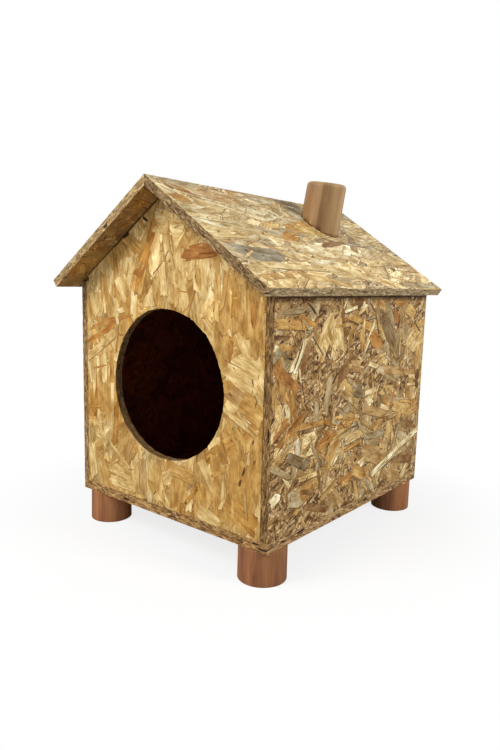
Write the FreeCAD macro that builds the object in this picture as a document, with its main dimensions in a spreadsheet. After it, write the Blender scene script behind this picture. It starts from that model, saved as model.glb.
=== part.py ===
import FreeCAD, Part
import os
import Sketcher

# A cat house of strand board: a cabin of flat panels on a base board, a pitched
# roof of two panels that meet in a mitre, a round entry in the front gable, four
# round feet and a round chimney that leans on the right slope.
# Millimetres. +Z is up, the entry faces -Y, and the origin lies on the floor
# under the middle of the roof's outline.

Vector = FreeCAD.Vector
SAME_LEVEL = 1e-6  # two heights this near each other are one

# Driving dimensions. Angles are in degrees.
SIZES = (
    # Cabin, over the outer faces of its panels
    ("cabin_width", 350),
    ("cabin_depth", 395),
    ("side_height", 295),
    ("base_thickness", 13),
    ("wall_thickness", 11),
    ("fit_gap", 0.3),  # between a gable panel and each side panel
    # Roof
    ("roof_thickness", 11),
    ("roof_pitch_angle", 33.8),
    ("roof_slope_length", 232.5),  # upper face, from the ridge to the eave
    ("front_overhang", 35),
    ("back_overhang", 15),
    # Round entry in the front gable panel
    ("entry_diameter", 200),
    ("entry_height", 165),  # from the cabin's floor to its centre
    ("entry_shift", 2),  # to the right of the middle line
    # Feet
    ("foot_diameter", 60),
    ("foot_height", 45),
    ("foot_inset", 28),  # from two edges of the base board to the centre
    # Chimney: it stands on the down-slope rim of its bevelled foot
    ("chimney_diameter", 59),
    ("chimney_height", 76),  # from that rim to its top
    ("chimney_from_ridge", 102),  # down the slope to that rim
    ("chimney_setback", 62),  # behind the cabin's middle
    ("chimney_bevel_angle", 26.8),  # saw cut of the foot, off square
    ("chimney_rock_angle", 2.6),  # between the cut and the slope, open up-slope
    ("chimney_rounding", 6),  # of its top rim
    # Brad nails, of rectangular section with a narrow T head
    ("nail_width", 1.3),
    ("nail_thickness", 1),
    ("nail_head_width", 2),
    ("nail_head_depth", 0.8),
    ("nail_length", 30),
    ("nail_point", 2),
    ("nail_margin", 55),  # from a panel's corner to its first nail
    ("wall_nail_count", 3),  # up each corner of the cabin
    ("floor_nail_count", 3),  # along each edge of the base board
    ("roof_nail_count", 3),  # down each slope, over each gable
    ("roof_nail_start", 35),  # down the slope from the ridge
    ("roof_nail_reach", 140),  # from the first to the last
    # Countersunk wood screws under the feet and the chimney
    ("screw_diameter", 4),
    ("screw_head_diameter", 8),
    ("screw_length", 40),
    ("screw_clearance", 0.2),  # round the screw in the board that it holds down
)

# Places that follow from the driving dimensions
TILT = "Sizes.roof_pitch_angle"
CABIN_MIDDLE = "((Sizes.front_overhang - Sizes.back_overhang) / 2)"
HALF_WIDTH = "(Sizes.cabin_width / 2)"
HALF_DEPTH = "(Sizes.cabin_depth / 2)"
FLOOR = "(Sizes.foot_height + Sizes.base_thickness)"
WALL_LINE_X = "(Sizes.cabin_width - Sizes.wall_thickness)"
WALL_LINE_Y = "(Sizes.cabin_depth - Sizes.wall_thickness)"
GABLE_HALF = f"({HALF_WIDTH} - Sizes.wall_thickness - Sizes.fit_gap)"
SHOULDER = f"(Sizes.side_height + ({HALF_WIDTH} - {GABLE_HALF}) * tan({TILT}))"
PEAK = f"(Sizes.side_height + {HALF_WIDTH} * tan({TILT}))"
RIDGE = f"({FLOOR} + {PEAK} + Sizes.roof_thickness / cos({TILT}))"
ROOF_DEPTH = "(Sizes.cabin_depth + Sizes.front_overhang + Sizes.back_overhang)"
CHIMNEY_RADIUS = "(Sizes.chimney_diameter / 2)"
CHIMNEY_LEAN = "(Sizes.roof_pitch_angle - Sizes.chimney_bevel_angle + Sizes.chimney_rock_angle)"
CHIMNEY_OFF_SLOPE = "(Sizes.chimney_bevel_angle - Sizes.chimney_rock_angle)"
CHIMNEY_Y = f"({CABIN_MIDDLE} + Sizes.chimney_setback)"
# From the chimney's lower rim up the slope to the middle of its foot
FOOT_MIDDLE = (
    f"({CHIMNEY_RADIUS} * (cos({CHIMNEY_OFF_SLOPE})"
    f" + tan(Sizes.chimney_bevel_angle) * sin({CHIMNEY_OFF_SLOPE})))"
)
CHIMNEY_SCREW_PLACE = f"(Sizes.chimney_from_ridge - {FOOT_MIDDLE})"

doc = FreeCAD.newDocument("cat_house")


def fill_sheet():
    sheet = doc.addObject("Spreadsheet::Sheet", "Sizes")
    for row, (name, size) in enumerate(SIZES, start=1):
        sheet.set(f"A{row}", str(size))
        sheet.setAlias(f"A{row}", name)
    doc.recompute()
    return sheet


sheet = fill_sheet()


def number(expression):
    return float(sheet.evalExpression(expression))


def new_body(label):
    body = doc.addObject("PartDesign::Body", label)
    body.Label = label
    return body


def origin_feature(body, role):
    return next(item for item in body.Origin.OriginFeatures if item.Role == role)


def new_sketch(body, name, plane, lift=None):
    """A sketch on one of the body's own planes, lifted along the plane's normal."""
    sketch = body.newObject("Sketcher::SketchObject", name)
    sketch.AttachmentSupport = [(origin_feature(body, plane), "")]
    sketch.MapMode = "FlatFace"
    if lift:
        sketch.setExpression("AttachmentOffset.Base.z", lift)
    return sketch


def bind_point(sketch, piece, end, across, up):
    """Ties one point of the sketch to a pair of expressions."""
    for kind, axis, expression in (("DistanceX", -2, across), ("DistanceY", -1, up)):
        if expression == "0":
            sketch.addConstraint(Sketcher.Constraint("PointOnObject", piece, end, axis))
            continue
        tie = Sketcher.Constraint(kind, -1, 1, piece, end, number(expression))
        index = sketch.addConstraint(tie)
        sketch.setExpression(f"Constraints[{index}]", expression)


def draw_outline(sketch, corners):
    """A closed outline of straight lines through the corners."""
    points = [Vector(number(across), number(up), 0) for across, up in corners]
    count = len(corners)
    for index in range(count):
        following = points[(index + 1) % count]
        sketch.addGeometry(Part.LineSegment(points[index], following))
    for index, (across, up) in enumerate(corners):
        before = (index - 1) % count
        sketch.addConstraint(Sketcher.Constraint("Coincident", before, 2, index, 1))
        bind_point(sketch, index, 1, across, up)


def draw_circle(sketch, diameter, across="0", up="0"):
    middle = Vector(number(across), number(up), 0)
    circle = Part.Circle(middle, Vector(0, 0, 1), number(diameter) / 2)
    piece = sketch.addGeometry(circle)
    index = sketch.addConstraint(Sketcher.Constraint("Diameter", piece, number(diameter)))
    sketch.setExpression(f"Constraints[{index}]", diameter)
    bind_point(sketch, piece, 3, across, up)


def pad(body, name, sketch, length, centred=False):
    feature = body.newObject("PartDesign::Pad", name)
    feature.Profile = sketch
    feature.setExpression("Length", length)
    feature.SideType = "Symmetric" if centred else "One side"
    return feature


def pocket_through(body, name, sketch):
    """Cuts the sketch through everything, on both sides of its plane."""
    feature = body.newObject("PartDesign::Pocket", name)
    feature.Profile = sketch
    feature.Type = "ThroughAll"
    feature.SideType = "Symmetric"
    return feature


def round_rim(body, name, feature, height, radius):
    """Rounds the circular edge of the feature that lies at this height."""
    doc.recompute()
    level = number(height)
    edges = [
        f"Edge{index}"
        for index, edge in enumerate(feature.Shape.Edges, start=1)
        if abs(edge.BoundBox.ZMin - level) < SAME_LEVEL
        and abs(edge.BoundBox.ZMax - level) < SAME_LEVEL
    ]
    fillet = body.newObject("PartDesign::Fillet", name)
    fillet.Base = (feature, edges)
    fillet.setExpression("Radius", radius)
    return fillet


def set_place(piece, across="0", along="0", up="0", turn=None, axis=Vector(0, 1, 0)):
    """Seats a piece, turned about an axis through its own origin."""
    if turn:
        piece.Placement = FreeCAD.Placement(Vector(), FreeCAD.Rotation(axis, 1))
        piece.setExpression("Placement.Rotation.Angle", f"({turn}) * 1 deg")
    piece.setExpression("Placement.Base.x", across)
    piece.setExpression("Placement.Base.y", along)
    piece.setExpression("Placement.Base.z", up)


# Fasteners. The first one's head lies at its body's origin, and its point straight
# below.


def nail(body):
    head = "(Sizes.nail_head_width / 2)"
    shank = "(Sizes.nail_width / 2)"
    shoulder = "-Sizes.nail_head_depth"
    taper = "-(Sizes.nail_length - Sizes.nail_point)"
    right_side = [(head, "0"), (head, shoulder), (shank, shoulder), (shank, taper)]
    left_side = [(f"-{across}", up) for across, up in reversed(right_side)]
    sketch = new_sketch(body, f"{body.Label}_profile", "XZ_Plane")
    draw_outline(sketch, right_side + [("0", "-Sizes.nail_length")] + left_side)
    return pad(body, f"{body.Label}_strip", sketch, "Sizes.nail_thickness", centred=True)


def screw(body):
    head = "(Sizes.screw_head_diameter / 2)"
    shank = "(Sizes.screw_diameter / 2)"
    sketch = new_sketch(body, f"{body.Label}_profile", "XZ_Plane")
    corners = [
        ("0", "0"),
        (head, "0"),
        (shank, f"{shank} - {head}"),
        (shank, "-Sizes.screw_length"),
        ("0", "-Sizes.screw_length"),
    ]
    draw_outline(sketch, corners)
    turned = body.newObject("PartDesign::Revolution", f"{body.Label}_turned")
    turned.Profile = sketch
    turned.ReferenceAxis = (sketch, ["V_Axis"])
    turned.Angle = 360
    return turned


def fastener_grid(label, make, columns=None, rows=None):
    """Copies of one fastener: columns run along X and rows along Y, each given as
    the distance from the first to the last and their number."""
    body = new_body(label)
    first = make(body)
    steps = []
    for role, step in (("X_Axis", columns), ("Y_Axis", rows)):
        if step is None:
            continue
        row = body.newObject("PartDesign::LinearPattern", f"{label}_{role[0].lower()}_row")
        row.Direction = (origin_feature(body, role), [""])
        row.setExpression("Length", step[0])
        row.setExpression("Occurrences", step[1])
        steps.append(row)
    if steps:
        grid = body.newObject("PartDesign::MultiTransform", f"{label}_grid")
        grid.Originals = [first]
        grid.Transformations = steps
        body.Tip = grid
    return body


def wall_nails(label, side):
    """Nails through a side panel into the edges of both gable panels."""
    columns = ("Sizes.side_height - 2 * Sizes.nail_margin", "Sizes.wall_nail_count")
    body = fastener_grid(label, nail, columns, (WALL_LINE_Y, "2"))
    lowest = f"{FLOOR} + Sizes.nail_margin"
    start = lowest if side < 0 else f"{FLOOR} + Sizes.side_height - Sizes.nail_margin"
    front = f"{CABIN_MIDDLE} - {WALL_LINE_Y} / 2"
    set_place(body, f"{side} * {HALF_WIDTH}", front, start, f"{side} * 90")
    return body


def floor_nails(label, columns, rows):
    """Nails up through the base board, driven from below."""
    body = fastener_grid(label, nail, columns, rows)
    left = f"-({columns[0]}) / 2"
    back = f"{CABIN_MIDDLE} + ({rows[0]}) / 2"
    set_place(body, left, back, "Sizes.foot_height", "180", Vector(1, 0, 0))
    return body


def roof_nails(label, side):
    """Nails through a roof panel into the sloping edges of both gable panels."""
    columns = ("Sizes.roof_nail_reach", "Sizes.roof_nail_count")
    body = fastener_grid(label, nail, columns, (WALL_LINE_Y, "2"))
    start = "Sizes.roof_nail_start"
    if side < 0:
        start = "(Sizes.roof_nail_start + Sizes.roof_nail_reach)"
    front = f"{CABIN_MIDDLE} - {WALL_LINE_Y} / 2"
    height = f"{RIDGE} - {start} * sin({TILT})"
    set_place(body, f"{side} * {start} * cos({TILT})", front, height, f"{side} * {TILT}")
    return body


def foot_screws(label):
    """One screw down through the base board into the middle of each foot."""
    columns = ("Sizes.cabin_width - 2 * Sizes.foot_inset", "2")
    rows = ("Sizes.cabin_depth - 2 * Sizes.foot_inset", "2")
    body = fastener_grid(label, screw, columns, rows)
    left = f"Sizes.foot_inset - {HALF_WIDTH}"
    front = f"{CABIN_MIDDLE} - {HALF_DEPTH} + Sizes.foot_inset"
    set_place(body, left, front, FLOOR)
    return body


def chimney_screw(label):
    """A screw square up through the right roof panel into the chimney's foot."""
    body = fastener_grid(label, screw)
    under = "Sizes.roof_thickness"
    across = f"{CHIMNEY_SCREW_PLACE} * cos({TILT}) - {under} * sin({TILT})"
    height = f"{RIDGE} - {CHIMNEY_SCREW_PLACE} * sin({TILT}) - {under} * cos({TILT})"
    set_place(body, across, CHIMNEY_Y, height, f"{TILT} + 180")
    return body


def countersunk_hole(body, name, sketch, upward=False):
    """A clearance hole for a screw, countersunk so that its head lies flush."""
    doc.recompute()
    hole = body.newObject("PartDesign::Hole", name)
    hole.Profile = sketch
    hole.DepthType = "ThroughAll"
    hole.Reversed = upward
    hole.ThreadType = "None"
    hole.setExpression("Diameter", "Sizes.screw_diameter + 2 * Sizes.screw_clearance")
    hole.HoleCutType = "Countersink"
    hole.HoleCutCustomValues = True
    head = "Sizes.screw_head_diameter + 2 * Sizes.screw_clearance"
    hole.setExpression("HoleCutDiameter", head)
    hole.HoleCutCountersinkAngle = 90
    return hole


# Boards. Each is drawn flat and seated by its placement.


def base_board():
    body = new_body("base_board_blank")
    sketch = new_sketch(body, "base_outline", "XY_Plane")
    corners = [
        (f"{x} * {HALF_WIDTH}", f"{y} * {HALF_DEPTH}")
        for x, y in ((-1, -1), (1, -1), (1, 1), (-1, 1))
    ]
    draw_outline(sketch, corners)
    pad(body, "base_sheet", sketch, "Sizes.base_thickness")
    spots = new_sketch(body, "base_screw_spots", "XY_Plane", "Sizes.base_thickness")
    for x in (-1, 1):
        for y in (-1, 1):
            across = f"{x} * ({HALF_WIDTH} - Sizes.foot_inset)"
            along = f"{y} * ({HALF_DEPTH} - Sizes.foot_inset)"
            draw_circle(spots, "Sizes.screw_diameter", across, along)
    countersunk_hole(body, "base_screw_holes", spots)
    set_place(body, "0", CABIN_MIDDLE, "Sizes.foot_height")
    return body


def side_panel(label, side):
    """A square-cut rectangle: its outer top edge meets the underside of the roof."""
    body = new_body(label)
    sketch = new_sketch(body, f"{label}_outline", "YZ_Plane")
    corners = [
        (f"-{HALF_DEPTH}", "0"),
        (HALF_DEPTH, "0"),
        (HALF_DEPTH, "Sizes.side_height"),
        (f"-{HALF_DEPTH}", "Sizes.side_height"),
    ]
    draw_outline(sketch, corners)
    pad(body, f"{label}_sheet", sketch, "Sizes.wall_thickness", centred=True)
    set_place(body, f"{side} * {WALL_LINE_X} / 2", CABIN_MIDDLE, FLOOR)
    return body


def gable_panel(label, end):
    """A pentagon between the side panels, whose sloping edges carry the roof."""
    body = new_body(label)
    sketch = new_sketch(body, f"{label}_outline", "XZ_Plane")
    corners = [
        (f"-{GABLE_HALF}", "0"),
        (GABLE_HALF, "0"),
        (GABLE_HALF, SHOULDER),
        ("0", PEAK),
        (f"-{GABLE_HALF}", SHOULDER),
    ]
    draw_outline(sketch, corners)
    pad(body, f"{label}_sheet", sketch, "Sizes.wall_thickness", centred=True)
    set_place(body, "0", f"{CABIN_MIDDLE} + {end} * {WALL_LINE_Y} / 2", FLOOR)
    return body


def cut_entry(body):
    sketch = new_sketch(body, "entry_outline", "XZ_Plane")
    draw_circle(sketch, "Sizes.entry_diameter", "Sizes.entry_shift", "Sizes.entry_height")
    pocket_through(body, "entry", sketch)


def roof_panel(label, side):
    """A panel drawn level, from its mitre at the ridge to its square-cut eave."""
    body = new_body(label)
    sketch = new_sketch(body, f"{label}_section", "XZ_Plane")
    corners = [
        ("0", "0"),
        (f"{side} * Sizes.roof_slope_length", "0"),
        (f"{side} * Sizes.roof_slope_length", "-Sizes.roof_thickness"),
        (f"{side} * Sizes.roof_thickness * tan({TILT})", "-Sizes.roof_thickness"),
    ]
    draw_outline(sketch, corners)
    pad(body, f"{label}_sheet", sketch, ROOF_DEPTH, centred=True)
    set_place(body, "0", "0", RIDGE, f"{side} * {TILT}")
    return body


def cut_chimney_screw_hole(body):
    spot = new_sketch(body, "chimney_screw_spot", "XY_Plane", "-Sizes.roof_thickness")
    draw_circle(spot, "Sizes.screw_diameter", CHIMNEY_SCREW_PLACE, CHIMNEY_Y)
    countersunk_hole(body, "chimney_screw_hole", spot, upward=True)


# Round wood


def foot(label, side, end):
    body = new_body(label)
    sketch = new_sketch(body, f"{label}_outline", "XY_Plane")
    draw_circle(sketch, "Sizes.foot_diameter")
    pad(body, f"{label}_post", sketch, "Sizes.foot_height")
    across = f"{side} * ({HALF_WIDTH} - Sizes.foot_inset)"
    along = f"{CABIN_MIDDLE} + {end} * ({HALF_DEPTH} - Sizes.foot_inset)"
    set_place(body, across, along, "0")
    return body


def chimney(label):
    """A leaning post. Its own origin is the lower rim of its foot, the post stands
    up-slope of that rim, and the bevel rises from there."""
    body = new_body(label)
    sketch = new_sketch(body, f"{label}_outline", "XY_Plane")
    draw_circle(sketch, "Sizes.chimney_diameter", f"-{CHIMNEY_RADIUS}")
    top = "Sizes.chimney_height"
    post = pad(body, f"{label}_post", sketch, top)
    round_rim(body, f"{label}_rounding", post, top, "Sizes.chimney_rounding")
    wedge = new_sketch(body, f"{label}_bevel", "XZ_Plane")
    heel = "(2 * Sizes.chimney_diameter)"
    rise = f"{heel} * tan(Sizes.chimney_bevel_angle)"
    corners = [("0", "0"), (f"-{heel}", rise), (f"-{heel}", "0")]
    draw_outline(wedge, corners)
    pocket_through(body, f"{label}_foot_cut", wedge)
    across = f"Sizes.chimney_from_ridge * cos({TILT})"
    height = f"{RIDGE} - Sizes.chimney_from_ridge * sin({TILT})"
    set_place(body, across, CHIMNEY_Y, height, CHIMNEY_LEAN)
    return body


def drive_in(label, blank, fasteners):
    """The finished piece: its blank, with the wood gone where fasteners are driven."""
    tool = fasteners[0]
    if len(fasteners) > 1:
        tool = doc.addObject("Part::Compound", f"{label}_fasteners")
        tool.Links = fasteners
    piece = doc.addObject("Part::Cut", label)
    piece.Label = label
    piece.Base = blank
    piece.Tool = tool
    return piece


def build_house():
    """Returns the pieces, and how many separate solids each one has."""
    left_wall = wall_nails("left_wall_nails", -1)
    right_wall = wall_nails("right_wall_nails", 1)
    left_roof = roof_nails("left_roof_nails", -1)
    right_roof = roof_nails("right_roof_nails", 1)
    inner_run = "2 * Sizes.nail_margin"
    side_floor = floor_nails(
        "side_floor_nails",
        (WALL_LINE_X, "2"),
        (f"Sizes.cabin_depth - {inner_run}", "Sizes.floor_nail_count"),
    )
    gable_floor = floor_nails(
        "gable_floor_nails",
        (f"Sizes.cabin_width - {inner_run}", "Sizes.floor_nail_count"),
        (WALL_LINE_Y, "2"),
    )
    feet_screws = foot_screws("foot_screws")
    top_screw = chimney_screw("chimney_screw")

    front = gable_panel("front_gable_blank", -1)
    cut_entry(front)
    back = gable_panel("back_gable_blank", 1)
    right_slope = roof_panel("right_roof_blank", 1)
    cut_chimney_screw_hole(right_slope)
    gable_nails = [left_wall, right_wall, gable_floor, left_roof, right_roof]
    left_side = side_panel("left_side_blank", -1)
    right_side = side_panel("right_side_blank", 1)

    pieces = [
        drive_in("base_board", base_board(), [side_floor, gable_floor]),
        drive_in("left_side_panel", left_side, [left_wall, side_floor]),
        drive_in("right_side_panel", right_side, [right_wall, side_floor]),
        drive_in("front_gable_panel", front, gable_nails),
        drive_in("back_gable_panel", back, gable_nails),
        drive_in("left_roof_panel", roof_panel("left_roof_blank", -1), [left_roof]),
        drive_in("right_roof_panel", right_slope, [right_roof]),
        drive_in("chimney", chimney("chimney_blank"), [top_screw]),
    ]
    for row, end in (("front", -1), ("back", 1)):
        for hand, side in (("left", -1), ("right", 1)):
            label = f"foot_{row}_{hand}"
            pieces.append(drive_in(label, foot(f"{label}_blank", side, end), [feet_screws]))
    solids = {piece.Label: 1 for piece in pieces}

    wall_count = 2 * round(number("Sizes.wall_nail_count"))
    roof_count = 2 * round(number("Sizes.roof_nail_count"))
    floor_count = 2 * round(number("Sizes.floor_nail_count"))
    for group, count in (
        (left_wall, wall_count),
        (right_wall, wall_count),
        (left_roof, roof_count),
        (right_roof, roof_count),
        (side_floor, floor_count),
        (gable_floor, floor_count),
        (feet_screws, 4),
        (top_screw, 1),
    ):
        pieces.append(group)
        solids[group.Label] = count
    return pieces, solids


def check(pieces, solids):
    """Stops with a message if anything failed, before a file is written."""
    for item in doc.Objects:
        if "Invalid" in item.State or "Error" in item.State:
            raise RuntimeError(f"{item.Label} failed: {item.State}")
    for piece in pieces:
        shape = piece.Shape
        if shape.isNull() or not shape.isValid():
            raise RuntimeError(f"{piece.Label} has no valid shape")
        if len(shape.Solids) != solids[piece.Label]:
            raise RuntimeError(f"{piece.Label} has {len(shape.Solids)} solids")
        if piece.TypeId == "Part::Cut" and shape.Volume >= piece.Base.Shape.Volume:
            raise RuntimeError(f"no fastener reaches into {piece.Label}")


def write(pieces):
    os.makedirs("parts", exist_ok=True)
    for piece in pieces:
        piece.Shape.exportStep(f"parts/{piece.Label}.step")
        box = piece.Shape.BoundBox
        low = f"{box.XMin:.1f}, {box.YMin:.1f}, {box.ZMin:.1f}"
        high = f"{box.XMax:.1f}, {box.YMax:.1f}, {box.ZMax:.1f}"
        print(f"{piece.Label}: {piece.Shape.Volume:.0f} mm3, ({low}) to ({high})")


house, solid_counts = build_house()
doc.recompute()
check(house, solid_counts)
write(house)
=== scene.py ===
import copy
import math
import random
import bmesh
import bpy
from mathutils import Matrix, Vector, geometry, noise


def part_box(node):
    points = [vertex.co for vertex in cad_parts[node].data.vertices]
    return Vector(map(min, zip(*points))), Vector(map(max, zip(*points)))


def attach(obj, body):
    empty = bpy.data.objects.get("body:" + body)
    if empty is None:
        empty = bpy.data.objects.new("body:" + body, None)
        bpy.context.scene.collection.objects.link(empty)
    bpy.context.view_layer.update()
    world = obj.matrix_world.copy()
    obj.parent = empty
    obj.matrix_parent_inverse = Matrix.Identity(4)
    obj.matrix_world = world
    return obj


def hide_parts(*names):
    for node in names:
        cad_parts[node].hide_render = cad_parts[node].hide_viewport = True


# A cat house of strand board on round wooden feet, with a leaning round chimney.
# The frame is the construction's: +Z up, the entry faces -Y. Lengths of the wood are in
# millimetres and become metres when a mesh is made.

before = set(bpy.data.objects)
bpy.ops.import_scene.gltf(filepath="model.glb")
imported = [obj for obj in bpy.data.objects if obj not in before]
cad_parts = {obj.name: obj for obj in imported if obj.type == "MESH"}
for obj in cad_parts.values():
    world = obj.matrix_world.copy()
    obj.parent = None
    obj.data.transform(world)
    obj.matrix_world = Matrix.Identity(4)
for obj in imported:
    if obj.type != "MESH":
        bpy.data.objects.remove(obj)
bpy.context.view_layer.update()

MM = 0.001
ROOF_PITCH = math.radians(33.8)

# The entry, and its hand-cut rim: degrees round from the right, and how far the cut
# strays outward
ENTRY_CENTRE = Vector((2, 223))
ENTRY_RADIUS = 100
ENTRY_STRAYS = (
    (0, 1.2), (20, -1.0), (44, -0.4), (60, -1.2), (90, -1.0), (112, 0.8), (135, 0.6), (158, 0.0),
    (180, 1.8), (200, 2.8), (217, 2.6), (235, 0.7), (270, -2.6), (300, -1.8), (320, 0.0), (340, 1.0),
)
ENTRY_STEPS = 240
# How far the rim waves, how far a torn nick reaches, and how rare the nicks are
RIM_WAVE, NICK_REACH, NICK_LEVEL = 0.35, 3.0, 0.22

CHIMNEY_RADIUS, CHIMNEY_LENGTH, CHIMNEY_FROM_RIDGE, CHIMNEY_ROUNDING = 29.5, 76, 102, 6
CHIMNEY_LEAN, CHIMNEY_ROCK = math.radians(9.6), math.radians(2.6)
# The chimney's top is sawn a little out of square: lower away from this bearing
DROP_BEARING = math.radians(39)
# How far the wood of the chimney's post runs below its toe before the bevel cuts it
CHIMNEY_SPARE = 60
# Eased rims of the feet, and of the length that the bevel takes off
FOOT_EASE, SPARE_EASE = 0.7, 1.2

# Posts: segments round, rows up, steps of a rounded rim, and where the rings of an end
# lie, as shares of the radius
POST_SEGMENTS, POST_ROWS, RIM_STEPS = 96, 14, 5
END_RINGS = (0.15, 0.32, 0.48, 0.62, 0.74)
# Drying checks in the ends of the posts: their number, depth, and the sine of half the
# angle that one takes
CHECKS, CHECK_DEPTH, CHECK_SPREAD = 3, 1.1, 0.06

# Sawn edges of the boards: the distance between points round them, the rows of faces
# across them, the run of edge that holds one small void, and the voids' depths
EDGE_PITCH, EDGE_ROWS, VOID_RUN, VOID_DEPTHS = 3.0, 6, 90, (0.8, 1.4)
# Places of a board's materials in its mesh
OUTER, EDGE, INNER = 0, 1, 2
# Points of outlines nearer than this merge, in millimetres, and corners flatter than this
# dissolve, in radians
MERGE_DISTANCE, STRAIGHT = 1e-4, 0.002
# An outline spills where its faces cover more than its area in this ratio and this more
SPILL_RATIO, SPILL_AREA = 1.5, 20

# Strands: how far a colour goes toward a second one, how light it gets, the width at
# most as a share of the length, and the share of torn ends that narrow to a splinter
MIX_LIMIT, LIGHTNESS, WIDEST, DRAWN_SHARE = 0.4, (0.89, 1.08), 0.45, 0.22
# Of the strands in a bare zone, the share that is left out
LEFT_OUT = 0.45
# Strands listed one by one, next to the others: how many bits lie on them, how ragged they are
PLACED_BITS, PLACED_RAGGED = 0.3, 0.8
# How far the sliver of shade beside a strand lies to the right and upward, and its look:
# bits, contrast and rim. The same look for specks, with their lengths and widths
SHADE_RIGHT, SHADE_UP, SHADE_LOOK = (0.2, 0.8), (-1.1, -0.4), (0.0, 0.3, 0.0)
SPECK_LENGTHS, SPECK_WIDTHS, SPECK_LOOK = (2.5, 14), (0.6, 2.0), (0.0, 0.4, 0.0)
# Raised strands: lengths, widths, how far they rise and curl, and how deep they reach
RAISED_LENGTHS, RAISED_WIDTHS, RAISED_ROOT = (20, 56), (2, 6), 0.4
LIFTS, CURLS = (0.15, 0.4), (-0.5, 0.5)
# How far they keep from a board's rim and its top edge, and on the front from the slopes
# and the entry
RIM_MARGIN, TOP_MARGIN, SLOPE_MARGIN, ENTRY_MARGIN = 4, 14, 50, 34

# Inside the cabin the wood is darkened as painted shade: its limits in metres, and the tints of painted shade
INSIDE_HALF_WIDTH, INSIDE_FRONT, INSIDE_BACK = 0.168, -0.182, 0.202
INSIDE_BOTTOM, FLOOR_TOP = 0.05, 0.0585
WALL_SHADE_PAINTED, FLOOR_SHADE_PAINTED = (0.42, 0.16, 0.11, 1), (0.85, 0.22, 0.16, 1)

# Stops of light that streaks, fibres and broad patches add to a strand or take from it,
# and how strongly red, green and blue follow them
STREAK_STOPS, FIBRE_STOPS, MOTTLE_STOPS = 1.9, 2.2, 4.0
TONE_POWERS = (0.72, 1.0, 1.5)

# Colours of the wood, as they look in plain light
BONE = (242, 224, 178)
CREAM = (232, 204, 150)
PALE = (222, 190, 130)
STRAW = (214, 180, 118)
GOLD = (207, 168, 102)
HONEY = (198, 154, 86)
TAN = (188, 150, 96)
AMBER = (190, 140, 68)
ORANGE = (184, 130, 64)
RUST = (176, 118, 58)
BROWN = (150, 112, 68)
UMBER = (112, 80, 46)
DARK = (62, 42, 24)
ASH = (188, 164, 122)
GREY = (168, 146, 108)
SLATE = (142, 122, 88)

# The photograph's camera, for an image of 500 by 750 pixels
IMAGE_LONG_SIDE = 750
FOCAL_PIXELS = 619.3
SENSOR = 36.0
CAMERA_PLACE = Vector((0.5865, -0.7295, 0.3617))
CAMERA_YAW = math.radians(39.32)
CAMERA_DOWN = math.radians(8.74)
CAMERA_ROLL = math.radians(1.48)

# Light, in metres and watts, and the floor that takes the shadow
AMBIENT = 0.40
LAMP_TARGET = Vector((0, 0, 0.25))
FLOOR_HALF = 6.0
FLOOR_TONE, FLOOR_SEEN_TONE = (0.42, 0.42, 0.42, 1), (0.88, 0.88, 0.88, 1)
# The shadow shows near the object and goes out of sight further off
SHADOW_NEAR, SHADOW_FAR, GLOW_NEAR = 0.24, 0.5, 0.8


def linear(colour):
    """An 8-bit display colour as the linear colour that a shader takes."""
    def one(value):
        value /= 255
        return value / 12.92 if value <= 0.04045 else ((value + 0.055) / 1.055) ** 2.4
    return tuple(one(value) for value in colour)


def blended(first, second, share):
    """The colour or place a share of the way from the first to the second."""
    return tuple(a + (b - a) * share for a, b in zip(first, second))


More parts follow.
